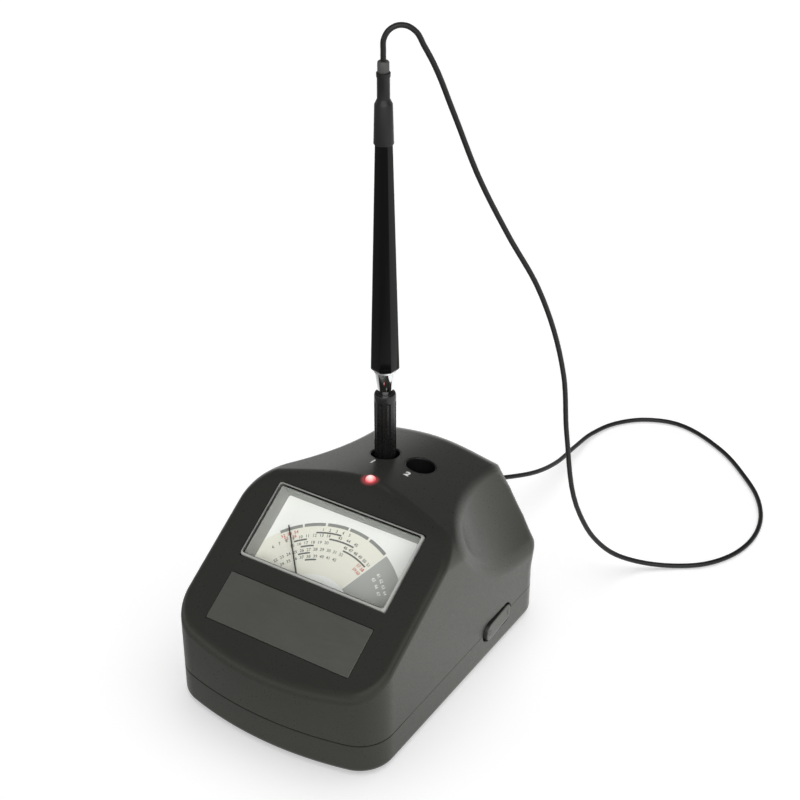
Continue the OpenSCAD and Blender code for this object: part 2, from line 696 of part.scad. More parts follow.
// Test wells
module well_sleeves() {
  color([0.13, 0.13, 0.13]) for (s = [-1, 1]) difference() {
    translate([s * well_x, well_y, disc_z - 3.6]) tube(sleeve_r, well_d / 2, 40);
    roof_plane_cut(s * well_x, well_y, 0);
  }
}
module well_caps() {
  color([0.12, 0.12, 0.12]) at_wells() translate([0, 0, disc_z - 6]) cylinder(r = sleeve_r, h = 2.35);
}
module ref_disc() {
  translate([0, well_y, disc_z - 3.65]) cylinder(r = well_d / 2 - 0.15, h = 3.65);
}
module glass_disc() {
  color([0.75, 0.88, 0.85]) translate([-well_x, 0, 0]) ref_disc();
}
module calibration_disc() {
  color([0.75, 0.76, 0.78]) translate([well_x, 0, 0]) ref_disc();
}

// Power key
module key_solid() {
  back = key_pin_x - 1.6;
  rise = key_len / 2 * tan(key_swing / 2);
  difference() {
    translate([back, 0, 0]) rotate([90, 0, 90]) linear_extrude(key_face + rise - back)
      stadium(key_len - 2 * key_gap, key_h - 2 * key_gap);
    for (s = [-1, 1]) translate([key_face, 0, 0]) rotate([0, 0, -s * key_swing / 2])
      translate([0, s > 0 ? 0 : -key_len, -key_h]) cube([key_h, key_len, 2 * key_h]);
    translate([key_pin_x, 0, -key_h]) cylinder(r = pin_r + run, h = 2 * key_h);
  }
}
module rocker_key() {
  color([0.14, 0.14, 0.14]) at_key() translate([key_pin_x, 0, 0]) rotate([0, 0, key_swing / 2])
    translate([-key_pin_x, 0, 0]) key_solid();
}
module rocker_pin() {
  color([0.7, 0.7, 0.72]) at_key() translate([key_pin_x, 0, -key_h / 2 - 2.1])
    cylinder(r = pin_r, h = key_h + 4.2);
}
module switch_body() {
  color([0.1, 0.1, 0.1]) at_key() difference() {
    union() {
      translate([sw_in, -10, -5.7]) cube([sw_out - sw_in, 20, 11.4]);
      for (s = [-1, 1]) translate([sw_out - 1, -3, s > 0 ? key_h / 2 + 0.2 : -key_h / 2 - 2.2])
        cube([key_pin_x - sw_out + 2.7, 6, 2]);
      for (s = [-1, 1]) translate([sw_out - 1.5, -3, s > 0 ? key_h / 2 - 0.5 : -key_h / 2 - 2.2])
        cube([1.5, 6, 2.7]);
    }
    translate([sw_out - 2.6, -15, -key_h / 2 + 0.2]) cube([8, 30, key_h - 0.4]);
    translate([key_pin_x, 0, -10]) cylinder(r = pin_r, h = 20);
  }
}
module switch_tags() {
  color([0.78, 0.75, 0.65]) at_key() for (k = [-1:1]) translate([sw_in - 5, 6 * k - 1, -0.4])
    cube([5, 2, 0.8]);
}

// Pen probe, standing in the left well
module octagon_rod(z0, w0, z1, w1) {
  k = 1 / cos(22.5) / 2;
  ring = [for (i = [0:7]) [cos(45 * i + 12), sin(45 * i + 12)]];
  levels = [[z0, w0 - 1.6], [z0 + 1.1, w0], [z1, w1]];
  pts = [for (l = levels, p = ring) [p.x * k * l[1], p.y * k * l[1], l[0]]];
  polyhedron(points = pts, faces = concat([[for (i = [0:7]) i]], [[for (i = [7:-1:0]) 16 + i]],
    [for (j = [0, 1], i = [0:7], s = [0, 1]) let (a = 8 * j + i, b = 8 * j + (i + 1) % 8)
      s == 0 ? [a, a + 8, b + 8] : [a, b + 8, b]]));
}
module probe_nose() {
  color([0.07, 0.07, 0.07]) at_probe() difference() {
    rotate_extrude() polygon([[0, nose_z], [1.5, nose_z], [3.9, shoulder_z - 0.6],
      [nose_d / 2, shoulder_z + 1.4], [nose_d / 2, nose_top - 1], [nose_d / 2 - 1, nose_top], [0, nose_top]]);
    translate([0, 0, nose_z - 1]) cylinder(r = tip_r + run, h = 40);
    translate([0, 0, stop_z - run]) cylinder(r = bore_r, h = bore_top - stop_z + run);
    translate([0, 0, bore_top - 1]) cylinder(r = 1.9, h = 30);
    for (k = [0:7]) rotate([0, 0, 45 * k + 10]) translate([nose_d / 2 + 0.35, 0, shoulder_z + 2.4])
      cylinder(r = 0.8, h = nose_top - shoulder_z - 6, $fn = 24);
  }
}
module probe_tip() {
  color([0.8, 0.5, 0.3]) at_probe() {
    translate([0, 0, tip_z]) cylinder(r1 = 0.35, r2 = tip_r, h = 0.8);
    translate([0, 0, tip_z + 0.8]) cylinder(r = tip_r, h = stop_z + 0.5 - tip_z - 0.8);
    translate([0, 0, stop_z]) cylinder(r = bore_r - 0.1, h = 1);
    translate([0, 0, stop_z + 0.9]) cylinder(r = 1, h = 5);
  }
}
module probe_heater() {
  color([0.85, 0.83, 0.78]) at_probe() translate([0, 0, bore_top]) cylinder(r = 1.9, h = 19);
}
module probe_leads() {
  z0 = bore_top + 19;
  color([0.75, 0.3, 0.2]) at_probe() for (s = [-1, 1]) translate([s * 0.8, 0, z0])
    cylinder(r = 0.4, h = sleeve_hi - z0, $fn = 24);
}
module probe_cone() {
  color([0.85, 0.85, 0.87]) at_probe()
    rotate_extrude() polygon([[2.1, nose_top], [3.2, nose_top], [4.5, cone_top], [2.1, cone_top]]);
}
module probe_ring() {
  color([0.9, 0.9, 0.92]) at_probe() translate([0, 0, cone_top]) tube(4.9, 2.1, barrel_z - cone_top);
}
module probe_barrel() {
  color([0.06, 0.06, 0.06]) at_probe() difference() {
    octagon_rod(barrel_z, barrel_lo, barrel_top, barrel_hi);
    translate([0, 0, barrel_z - 1]) cylinder(r = 2.1, h = barrel_top - barrel_z + 2);
  }
}
module probe_sleeve() {
  color([0.12, 0.12, 0.12]) at_probe() rotate_extrude() polygon([[2.1, barrel_top], [4, barrel_top],
    [3.95, barrel_top + 1], [3.55, sleeve_mid], [2.5, sleeve_mid + 1.9], [2.5, sleeve_hi - 2.2],
    [2.75, sleeve_hi - 1.6], [2.75, sleeve_hi], [1.5, sleeve_hi], [1.5, sleeve_mid + 1], [2.1, sleeve_mid - 1]]);
}
module probe_cap() {
  color([0.3, 0.3, 0.3]) at_probe() translate([0, 0, sleeve_hi]) cylinder(r = 2.3, h = cap_z - sleeve_hi);
}

// Tip spring: one unbroken wire
spring_r = 1.85;
wire_r = 0.22;
spring_z0 = stop_z + 1 + wire_r;
spring_z1 = bore_top - wire_r;
spring_turns = 7;
spring_pitch = (spring_z1 - spring_z0) / spring_turns;
echo(tip_spring_gap = spring_pitch - tip_travel / spring_turns - 2 * wire_r);
function spring_pt(a) = [spring_r * cos(a), spring_r * sin(a), spring_z0 + spring_pitch * a / 360];
function spring_out(a) = [cos(a), sin(a), 0];
module tip_spring() {
  n = 8 * spring_turns;
  pts = [for (k = [0:n], i = [0:5]) let (a = 45 * k)
    spring_pt(a) + wire_r * (cos(60 * i) * spring_out(a) + [0, 0, sin(60 * i)])];
  color([0.75, 0.75, 0.77]) at_probe() polyhedron(points = pts, faces = tube_faces(n, 6));
}
function tube_faces(n, m) = concat([[for (i = [0:m - 1]) i]], [[for (i = [m - 1:-1:0]) n * m + i]],
  [for (k = [0:n - 1], i = [0:m - 1], s = [0, 1]) let (a = k * m + i, b = k * m + (i + 1) % m)
    s == 0 ? [a, a + m, b + m] : [a, b + m, b]]);

// Cord outlet and cord
module cord_gland() {
  color([0.08, 0.08, 0.08]) translate([exit_x, back_y - wall, exit_z]) rotate([-90, 0, 0]) difference() {
    rotate_extrude() polygon([[0, -2], [neck_r + 1.2, -2], [neck_r + 1.2, -0.4], [neck_r, -0.4],
      [neck_r, wall + 0.3], [neck_r + 0.9, wall + 0.3], [neck_r + 0.9, wall + 1.6], [neck_r - 0.4, wall + 2],
      [cord_d / 2 + 0.7, wall + gland_len], [0, wall + gland_len]]);
    for (k = [0:2]) translate([0, 0, wall + 3.4 + 2.4 * k]) tube(10, neck_r - 0.9 - 0.35 * k, 0.9);
  }
}
function lift(z) = z + cord_d / 2;
cord_pts = [
  [exit_x, back_y + gland_len, exit_z], [exit_x, back_y + gland_len + 4, exit_z], [-11.7, 89.8, 26.8],
  [-10.1, 96.4, 26.1], [-6.2, 104.8, 24.9], [0.2, 115.4, 22.4], [9.4, 141, 14.9], [10.2, 160, 9.6],
  [8.4, 184.3, 4.9], [8.4, 203.6, 2.3], [13.2, 219.4, lift(0.2)], [23.4, 231, lift(0)],
  [36.8, 236.8, lift(0)], [69.8, 226.9, lift(0)], [88.2, 212.2, lift(0)], [102, 197.2, lift(0)],
  [110.1, 181.4, lift(0)], [112.8, 163.6, lift(0)], [109.6, 147.6, lift(0)], [101.6, 134.4, lift(0.1)],
  [88.6, 124.3, lift(0.4)], [77.2, 116.2, 4.2], [67.2, 107, 11.4], [60.3, 100.4, 21.8],
  [55.4, 95.8, 34.8], [49.2, 90, 79], [47.1, 88, 108.8], [37.4, 78.9, 152.6], [27.9, 69.9, 177.1],
  [18.6, 61.2, 203.5], [10.8, 53.9, 231.5], [4.76, 48.18, 252.5], [2.32, 45.87, 258.96],
  [0.18, 43.83, 264.36], [-2.45, 41.34, 266.93], [-5.16, 38.76, 267.17], [-7.4, 36.63, 265.44],
  [-8.66, 35.44, 262.29], [probe_x, probe_y, cap_z + 4], [probe_x, probe_y, cap_z]];
function spline(a, b, c, d, t) = 0.5 * (2 * b + (c - a) * t + (2 * a - 5 * b + 4 * c - d) * t * t
  + (3 * b - a - 3 * c + d) * t * t * t);
function way(i) = cord_pts[max(0, min(len(cord_pts) - 1, i))];
function cord_at(u) = let (i = floor(u)) spline(way(i - 1), way(i), way(i + 1), way(i + 2), u - i);
function side_of(t, s) = unit(s - t * (s * t));
function frames(c, i, s) = i == len(c) ? [] : let (
    t = unit(c[min(i + 1, len(c) - 1)] - c[max(i - 1, 0)]),
    x = side_of(t, s))
  concat([[x, cross(t, x)]], frames(c, i + 1, x));
module probe_cord() {
  n = 3 * (len(cord_pts) - 1);
  c = [for (k = [0:n]) cord_at(min(k / 3, len(cord_pts) - 1.0001))];
  fr = frames(c, 0, [1, 0, 0]);
  pts = [for (k = [0:n], i = [0:7])
    c[k] + cord_d / 2 * (cos(45 * i) * fr[k][0] + sin(45 * i) * fr[k][1])];
  color([0.08, 0.08, 0.08]) polyhedron(points = pts, faces = tube_faces(n, 8));
}

upper_housing();
base_tray();
battery_door();
rubber_feet();
case_screws();
battery_cells();
battery_contacts();
main_board();
board_parts();
board_screws();
meter_case();
meter_screws();
meter_cover();
dial_plate();
meter_frame();
meter_magnet();
meter_core();
meter_bridge();
moving_coil();
pivot_shafts();
pointer();
hairspring();
nameplate();
lamp();
well_sleeves();
well_caps();
glass_disc();
calibration_disc();
rocker_key();
rocker_pin();
switch_body();
switch_tags();
cord_gland();
probe_cord();
probe_nose();
probe_tip();
tip_spring();
probe_heater();
probe_leads();
probe_cone();
probe_ring();
probe_barrel();
probe_sleeve();
probe_cap();
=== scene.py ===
"""Looks of a counter-top gemstone tester: a moulded housing with a needle meter and a corded pen probe."""

import math

import bmesh
import bpy
import numpy as np
from mathutils import Matrix, Vector


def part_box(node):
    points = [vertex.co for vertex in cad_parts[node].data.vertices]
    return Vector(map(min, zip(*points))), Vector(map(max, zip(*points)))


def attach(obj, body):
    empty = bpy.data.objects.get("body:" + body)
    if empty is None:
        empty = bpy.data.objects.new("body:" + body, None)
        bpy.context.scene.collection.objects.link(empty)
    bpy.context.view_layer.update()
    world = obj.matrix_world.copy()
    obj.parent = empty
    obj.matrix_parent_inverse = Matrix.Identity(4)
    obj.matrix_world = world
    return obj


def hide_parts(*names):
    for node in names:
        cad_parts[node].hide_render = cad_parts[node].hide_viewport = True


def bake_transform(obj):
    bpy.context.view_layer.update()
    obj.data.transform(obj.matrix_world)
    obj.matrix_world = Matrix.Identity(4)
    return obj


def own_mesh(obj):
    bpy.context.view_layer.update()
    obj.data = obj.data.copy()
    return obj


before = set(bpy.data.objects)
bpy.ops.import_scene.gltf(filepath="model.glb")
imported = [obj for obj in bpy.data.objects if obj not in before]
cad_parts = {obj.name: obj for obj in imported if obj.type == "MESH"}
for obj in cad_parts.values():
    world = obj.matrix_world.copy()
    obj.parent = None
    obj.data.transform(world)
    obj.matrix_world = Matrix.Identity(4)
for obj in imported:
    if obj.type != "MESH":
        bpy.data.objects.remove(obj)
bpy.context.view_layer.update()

# ---- Sizes in millimetres, the solids' own unless a note says otherwise ----
MM = 0.001
BODY_W, BODY_D, FRONT_BOW = 100.0, 140.4, 8.4
CORNER_FRONT, CORNER_REAR, WALL = 15.6, 12.0, 2.5
TRAY_Z, PART_Z, EDGE_R = 1.0, 15.6, 0.12
# The parting gap shows in front and closes along the sides, as in the photograph; it is even in the solids
FRONT_GAP, PART_GAP, GAP_FADE_Y = 0.5, 0.06, (-58, -35)
PANEL_TILT, PANEL_Z, PANEL_R = math.radians(31.67), 79.4, 3.0
ROOF_Z, ROOF_Y, ROOF_FALL, ROOF_GABLE, ROOF_SOFT = 83.9, 8.0, 0.16, 0.26, 5.0
SHOULDER_R, SCOOP_R, SCOOP_DISH, SCOOP_MID, SCOOP_HALF = 9.0, 4.0, 1.6, 33.0, 20.0
SCOOP_EDGE = 2.6  # crisper than the solid's, which is SCOOP_R
SCOOP_TILT, SCOOP_REACH, SCOOP_RISE, SCOOP_LEN = math.radians(28), 60.2, 16.5, 63.0
SCOOP_Y, SCOOP_BEND = 12.0, 2.5
METER_Y, COVER_W, COVER_H, COVER_PROUD = -18.6, 70.8, 35.2, 0.8
COVER_T, SKIRT_T, DIAL_DEPTH, PIVOT_DROP = 2.0, 1.4, 11.0, 29.7
PLATE_W, PLATE_H, PLATE_T, PLATE_DROP = 69.2, 21.5, 0.8, 36.3
LAMP_D, LAMP_Y, LAMP_TILT, LAMP_SUNK = 5.0, 10.4, math.radians(12), 1.4
WELL_D, WELL_X, WELL_Y, DISC_Z, SLEEVE_T = 12.4, 8.8, 35.3, 62.0, 0.8
KEY_LEN, KEY_H, KEY_Y, KEY_SWING, KEY_GAP = 23.6, 9.6, 32.0, math.radians(5), 0.8
GLAND_X, GLAND_Z, GLAND_NECK, GLAND_LEN = -12.0, 27.0, 3.2, 11.0
CORD_D = 2.2
NOSE_D, BARREL_LO, BARREL_HI = 9.3, 11.8, 6.9
BARREL_Z, BARREL_TOP, SLEEVE_MID, SLEEVE_TOP, CAP_Z = 121.3, 221.0, 237.3, 249.6, 254.0

HALF_W, FRONT_Y, BACK_Y = BODY_W / 2, -BODY_D / 2, BODY_D / 2
ARC_R = (HALF_W**2 + FRONT_BOW**2) / (2 * FRONT_BOW)
ARC_Y = FRONT_Y + ARC_R
FC_X = HALF_W - CORNER_FRONT
FC_Y = ARC_Y - math.sqrt((ARC_R - CORNER_FRONT) ** 2 - FC_X**2)
FC_A = math.asin(FC_X / (ARC_R - CORNER_FRONT))
RC_X, RC_Y = HALF_W - CORNER_REAR, BACK_Y - CORNER_REAR
KEY_Z, KEY_FACE, KEY_PIN_X = PART_Z - 0.6, HALF_W + 0.45, HALF_W - 4.5
DIAL_Z = COVER_PROUD - DIAL_DEPTH
PEN = np.array([-WELL_X, WELL_Y])

# ---- Materials ----
PLAIN = "Principled BSDF"
SOCKETS = {
    "metal": "Metallic", "shine": "Specular IOR Level", "tint": "Specular Tint",
    "clear": "Transmission Weight", "index": "IOR", "rough": "Roughness", "colour": "Base Color",
}
GRAIN_SPAN = (0.3, 0.7)  # most of what the noise gives lies between these
NODE_KIND = {"SHADER": "ShaderNode", "GEOMETRY": "GeometryNode"}


def srgb(code):
    """Linear colour of an sRGB hex code."""
    parts = [int(code[i : i + 2], 16) / 255 for i in (1, 3, 5)]
    return tuple(c / 12.92 if c <= 0.04045 else ((c + 0.055) / 1.055) ** 2.4 for c in parts) + (1.0,)


def add(tree, kind, inputs=(), **settings):
    """Adds a node with its settings, values and links, and returns its outputs."""
    node = tree.nodes.new(NODE_KIND[tree.type] + kind)
    for name, value in settings.items():
        setattr(node, name, value)
    for socket, value in dict(inputs).items():
        if isinstance(value, bpy.types.NodeSocket):
            tree.links.new(value, node.inputs[socket])
        else:
            node.inputs[socket].default_value = value
    return node.outputs


def surface(name, **sockets):
    """A new material with one principled shader, and that shader's tree and node."""
    material = bpy.data.materials.new(name)
    material.use_nodes = True
    shader = material.node_tree.nodes[PLAIN]
    for word, value in sockets.items():
        shader.inputs[SOCKETS[word]].default_value = value
    return material, material.node_tree, shader


def noise(tree, place, size_mm, detail):
    """Noise whose spots have a real size."""
    inputs = {"Vector": place, "Scale": 1 / (size_mm * MM), "Detail": detail}
    return add(tree, "TexNoise", inputs)[0]


def grained(name, low, high, rough, grain_mm, relief_mm, cloud_mm=18.0, stretch=(1, 1, 1), **sockets):
    """Cloudy colour between two hex codes, and a grain of a real size in the gloss and the relief."""
    material, tree, shader = surface(name, **sockets)
    place = add(tree, "TexCoord")["Object"]
    drawn = add(tree, "Mapping", {"Vector": place, "Scale": stretch})[0]
    cloud, grain = noise(tree, place, cloud_mm, 3.0), noise(tree, drawn, grain_mm, 2.0)
    mix = add(tree, "Mix", {0: cloud, 6: srgb(low), 7: srgb(high)}, data_type="RGBA")[2]
    gloss = add(tree, "MapRange", dict(enumerate((grain, *GRAIN_SPAN, *rough))))[0]
    bump = add(tree, "Bump", {"Height": grain, "Distance": relief_mm * MM, "Strength": 1.0})[0]
    for socket, value in (("Base Color", mix), ("Roughness", gloss), ("Normal", bump)):
        tree.links.new(value, shader.inputs[socket])
    return material


def moulded(name, low, high, shine, grain_mm=0.8):
    """Charcoal ABS: a fine spark-eroded grain, drawn coarser than real, and an olive cast in its shine."""
    return grained(name, low, high, (0.27, 0.37), grain_mm, 0.003, tint=srgb("#fcffe2"), shine=shine)


def ink(name, low, high, cloud_mm=20.0):
    """Matt enamel or ink, as on a dial card of thin aluminium."""
    return grained(name, low, high, (0.55, 0.7), 0.5, 0.002, cloud_mm)


# Moulded ABS of the case, and a duller black for what lies inside it; that black also paints the key's sides
# and back as shade
ABS = moulded("charcoal_abs_moulded", "#2e2e2c", "#323230", 0.31)
TRAY_ABS = moulded("charcoal_abs_tray", "#2d2d2b", "#31312f", 0.31)
KEY_ABS = moulded("charcoal_abs_key", "#30302d", "#343431", 0.34, 0.7)
BLACK_ABS_AND_SHADE = grained("black_abs_inner_and_key_shade", "#141413", "#1a1a19", (0.5, 0.62), 0.9, 0.01)
SLEEVE_ABS = grained("black_abs_well", "#0e0e0e", "#131312", (0.3, 0.42), 0.8, 0.008, shine=0.25)
# Clear cast acrylic: polished, with faint wipe marks in its gloss
ACRYLIC = grained("clear_acrylic_cover", "#f4f7f6", "#fafbfa", (0.0, 0.015), 6.0, 0.0, clear=1.0, index=1.49)
# Frosted sides of the same cover: a dull grey frame round the dial
FROSTED = grained("frosted_acrylic_sides", "#969793", "#a1a29e", (0.45, 0.6), 0.8, 0.004, 8.0)
# Dial card and its inks, and the needle's paint
DIAL_WHITE = ink("dial_enamel_white", "#f8f8f4", "#fcfcf9", 30.0)
INK_CREAM = ink("dial_ink_cream", "#efede0", "#f4f2e6", 30.0)
INK_GREY = ink("dial_ink_grey", "#aeafaa", "#b6b7b2")
INK_PALE = ink("dial_ink_pale", "#fdfdfa", "#ffffff")
INK_DARK = ink("dial_ink_dark", "#646562", "#6f706d")
INK_ARC = ink("dial_ink_mid_grey", "#8d8e8a", "#969793")
INK_RED = ink("dial_ink_red", "#c0473f", "#c95148")
NEEDLE = grained("needle_black_paint", "#4c4c4b", "#585857", (0.4, 0.5), 0.5, 0.002)
# Nameplate: satin anodised sheet, brushed along its length
BRUSHED = (0.06, 1, 1)
PLATE = grained(
    "nameplate_satin_sheet", "#52524e", "#5a5a56", (0.34, 0.48), 0.5, 0.003, 25.0, BRUSHED, metal=0.35
)
# Pad prints on the roof and the key
INK_WHITE = grained("white_pad_print", "#e6e6e2", "#efefec", (0.45, 0.6), 0.4, 0.003)
INK_MARK = grained("key_mark_ink", "#1b1b1a", "#222221", (0.4, 0.55), 0.4, 0.002)
# Polished glass and lapped steel reference discs in the wells
GLASS_DISC = grained("reference_glass_polished", "#bcd0c8", "#c8dad3", (0.04, 0.1), 3.0, 0.0, clear=0.8)
STEEL_DISC = grained("reference_steel_lapped", "#8a8c8f", "#97999b", (0.25, 0.4), 0.6, 0.002, metal=1.0)
# Pen: glossy black barrel, satin nose and sleeve, bright chrome
GLOSS_BLACK = grained("pen_black_acrylic_gloss", "#070707", "#0b0b0b", (0.05, 0.12), 4.0, 0.0, shine=0.15)
NOSE_BLACK = grained("pen_nose_black_nylon", "#0d0d0d", "#131313", (0.22, 0.34), 0.8, 0.006)
MATT_BLACK = grained("pen_sleeve_black_nylon", "#121212", "#181818", (0.4, 0.55), 0.7, 0.008, shine=0.3)
CAP_GREY = grained("pen_cap_grey_rubber", "#3b3b3a", "#444443", (0.5, 0.65), 0.6, 0.01)
CHROME = grained("chrome_plate_polished", "#d8d9da", "#e0e1e2", (0.05, 0.11), 2.0, 0.0, metal=1.0)
COPPER = grained("probe_tip_copper", "#b4724d", "#c07d57", (0.18, 0.3), 0.6, 0.002, metal=1.0)
# Soft PVC cord and rubber: dull black with a slight bloom
CORD_PVC = grained("cord_pvc_black", "#121212", "#181817", (0.42, 0.55), 0.8, 0.008, 12.0, shine=0.3)
RUBBER = grained("rubber_black", "#191919", "#202020", (0.6, 0.75), 0.6, 0.012, 8.0)
# Small metal and electrical parts inside
ZINC = grained("zinc_plated_steel", "#9b9d9f", "#aeb0b1", (0.25, 0.4), 0.4, 0.003, 4.0, metal=1.0)
BRASS = grained("machined_brass", "#a98846", "#b99754", (0.25, 0.4), 0.3, 0.003, 8.0, (0.1, 1, 1), metal=1.0)
GROUND, WOUND = (1, 0.1, 1), (0.05, 1, 1)
MAGNET = grained("ground_magnet_alloy", "#4d4e50", "#5a5b5d", (0.4, 0.55), 0.4, 0.004, 8.0, GROUND, metal=0.8)
COIL = grained(
    "varnished_copper_winding", "#8a4a22", "#9c5729", (0.25, 0.4), 0.12, 0.02, 6.0, WOUND, metal=0.7
)
CELL = grained("battery_printed_sleeve", "#1f3448", "#27405a", (0.25, 0.4), 2.0, 0.002, 12.0)
BOARD = grained("board_green_mask", "#123d24", "#17492c", (0.3, 0.45), 0.5, 0.01, 6.0)
EPOXY = grained("chip_black_epoxy", "#17181a", "#1f2022", (0.5, 0.65), 0.4, 0.008, 5.0)
CERAMIC = grained("fired_ceramic", "#d3cdbe", "#dcd7c9", (0.5, 0.65), 0.4, 0.006, 4.0)
LEAD_RED = grained("lead_pvc_red", "#8c2418", "#9a2c1f", (0.4, 0.55), 0.6, 0.006, 4.0)


def lets_light_in(material):
    """Lets light straight through a clear part, so that what lies under it isn't in its shadow."""
    tree = material.node_tree
    path = add(tree, "LightPath")
    rays = {0: path["Is Shadow Ray"], 1: path["Is Diffuse Ray"]}
    shadow = add(tree, "Math", rays, operation="MAXIMUM")[0]
    through = add(tree, "BsdfTransparent")[0]
    mix = add(tree, "MixShader", {0: shadow, 1: tree.nodes[PLAIN].outputs[0], 2: through})
    tree.links.new(mix[0], tree.nodes["Material Output"].inputs[0])


lets_light_in(ACRYLIC)


def colour_ramp(tree, factor, stops):
    """Output of a colour ramp with stops of (position, colour)."""
    node = tree.nodes.new("ShaderNodeValToRGB")
    tree.links.new(factor, node.inputs[0])
    stock = node.color_ramp.elements
    for k, (at, colour) in enumerate(stops):
        stop = stock[k] if k < 2 else stock.new(at)
        stop.position, stop.color = at, colour
    return node.outputs[0]


def glow_round(material, point, near_mm, far_mm, kind, stops, strength):
    """Makes a material shine in colours that change with the distance from a point of the object."""
    tree, shader = material.node_tree, material.node_tree.nodes[PLAIN]
    place = add(tree, "TexCoord")["Object"]
    reach = add(tree, "VectorMath", {0: place, 1: tuple(point * MM)}, operation="DISTANCE")["Value"]
    span = {0: reach, 1: near_mm * MM, 2: far_mm * MM}
    share = add(tree, "MapRange", span, interpolation_type=kind)[0]
    colours = colour_ramp(tree, share, [(at, srgb(code)) for at, code in stops])
    tree.links.new(colours, shader.inputs["Emission Color"])
    shader.inputs["Emission Strength"].default_value = strength


# ---- Mesh helpers; a part is points in millimetres and faces ----
CAP_SIDES = 8  # a face with more sides is a level end and shades flat


def shown(name, data):
    """A new object in the scene."""
    thing = bpy.data.objects.new(name, data)
    bpy.context.scene.collection.objects.link(thing)
    return thing


def baked(carrier, *helpers):
    """The final mesh of an object, which then goes away with its helpers."""
    mesh = bpy.data.meshes.new_from_object(carrier.evaluated_get(bpy.context.evaluated_depsgraph_get()))
    for thing in (carrier, *helpers):
        bpy.data.objects.remove(thing)
    return mesh


def faced_out(mesh):
    """The same closed mesh, its faces turned outwards."""
    bm = bmesh.new()
    bm.from_mesh(mesh)
    bmesh.ops.recalc_face_normals(bm, faces=bm.faces)
    bm.to_mesh(mesh)
    bm.free()
    return mesh


def part_mesh(name, part):
    """A closed mesh in metres from a part."""
    mesh = bpy.data.meshes.new(name)
    mesh.from_pydata((np.asarray(part[0], float) * MM).tolist(), [], part[1])
    return faced_out(mesh)


def place_piece(name, mesh, material, body, slot, node=None, sharp=35.0):
    """A piece smooth up to the sharp angle, riding on a CAD body, in place of a CAD node if one is named."""
    piece = shown(name, mesh)
    mesh.materials.clear()
    mesh.materials.append(material)
    mesh.shade_smooth()
    if sharp:
        mesh.set_sharp_from_angle(angle=math.radians(sharp))
        for face in mesh.polygons:
            face.use_smooth = face.loop_total <= CAP_SIDES
    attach(piece, body)
    if node:
        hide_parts(node)
    return piece


def make_piece(name, part, *look, **options):
    """A piece made of a part."""
    return place_piece(name, part_mesh(name, part), *look, **options)


def loft(loops, closed=False):
    """Part of a skin through loops of equally many points, capped at both ends or closed on itself."""
    n, k = len(loops[0]), len(loops)
    points = np.concatenate([np.asarray(loop, float) for loop in loops])
    faces = []
    for j in range(k if closed else k - 1):
        a, b = j * n, (j + 1) % k * n
        faces += [(a + i, a + (i + 1) % n, b + (i + 1) % n, b + i) for i in range(n)]
    if not closed:
        faces += [tuple(range(n))[::-1], tuple(range((k - 1) * n, k * n))]
    return points, faces


def join_parts(*parts):
    """One part from several."""
    points, faces, start = [], [], 0
    for p, f in parts:
        points.append(np.asarray(p, float))
        faces += [tuple(i + start for i in face) for face in f]
        start += len(p)
    return np.concatenate(points), faces


def polar(radius, angle):
    """Plane points at a radius and angles."""
    return np.stack([radius * np.cos(angle), radius * np.sin(angle)], 1)


def circle(radius, sides=96):
    """Loop of a circle."""
    return polar(radius, np.linspace(0, 2 * math.pi, sides, endpoint=False))


def round_rect(width, height, radius, steps=6):
    """Loop of a rectangle with rounded corners."""
    loop = []
    for k, (sx, sy) in enumerate(((1, 1), (-1, 1), (-1, -1), (1, -1))):
        corner = (sx * (width / 2 - radius), sy * (height / 2 - radius))
        loop.append(corner + polar(radius, np.radians(np.linspace(0, 90, steps + 1) + 90 * k)))
    return np.concatenate(loop)


def stadium(length, height, inset=0.0, steps=24):
    """Loop of a slot with round ends, set in by inset."""
    r = height / 2
    end = polar(r - inset, np.radians(np.linspace(-90, 90, steps + 1))) + (length / 2 - r, 0)
    return np.concatenate([end, -end])


def at_height(loop, z):
    """A plane loop lifted to one height, or to one for each point."""
    return np.column_stack([loop, np.full(len(loop), z)])


def lathe(profile, sides=96):
    """Part of a profile of (radius, height) turned about Z and capped."""
    return loft([at_height(circle(max(r, 0.02), sides), z) for r, z in profile])


def turned(part, matrix):
    """A part moved by a matrix."""
    points, faces = part
    return np.asarray(points, float) @ np.array(matrix.to_3x3()).T + np.array(matrix.translation), faces


def shift(x, y, z):
    """Matrix of a move."""
    return Matrix.Translation((x, y, z))


def spin(angle, axis):
    """Matrix of a turn about an axis."""
    return Matrix.Rotation(angle, 4, axis)


# Lays a level loop on the right side, facing out
OUT_OF_SIDE = Matrix(((0, 0, 1, 0), (1, 0, 0, 0), (0, 1, 0, 0), (0, 0, 0, 1)))
PANEL = shift(0, METER_Y, PANEL_Z + math.tan(PANEL_TILT) * METER_Y) @ spin(PANEL_TILT, "X")
PLATE_AT = PANEL @ shift(0, -PLATE_DROP, 0)
PIVOT = PANEL @ shift(0, -PIVOT_DROP, 0)
AT_PEN = shift(PEN[0], PEN[1], 0)
GLAND = shift(GLAND_X, BACK_Y - WALL, GLAND_Z) @ spin(math.radians(-90), "X")


def cut(name, mesh, cutters):
    """The mesh with closed parts taken out of it."""
    body = shown(name, mesh)
    tool = shown(f"{name}_cutter", part_mesh(f"{name}_cutter", join_parts(*cutters)))
    boolean = body.modifiers.new("cut", "BOOLEAN")
    boolean.object, boolean.solver, boolean.operation = tool, "EXACT", "DIFFERENCE"
    return baked(body, tool)


def flared_cut(loop_of, width, height, levels, matrix):
    """Cutter whose outline grows by the second number of each level, for a hole with an eased edge."""
    loops = [at_height(loop_of(width + 2 * grow, height + 2 * grow), z) for z, grow in levels]
    return turned(loft(loops), matrix)


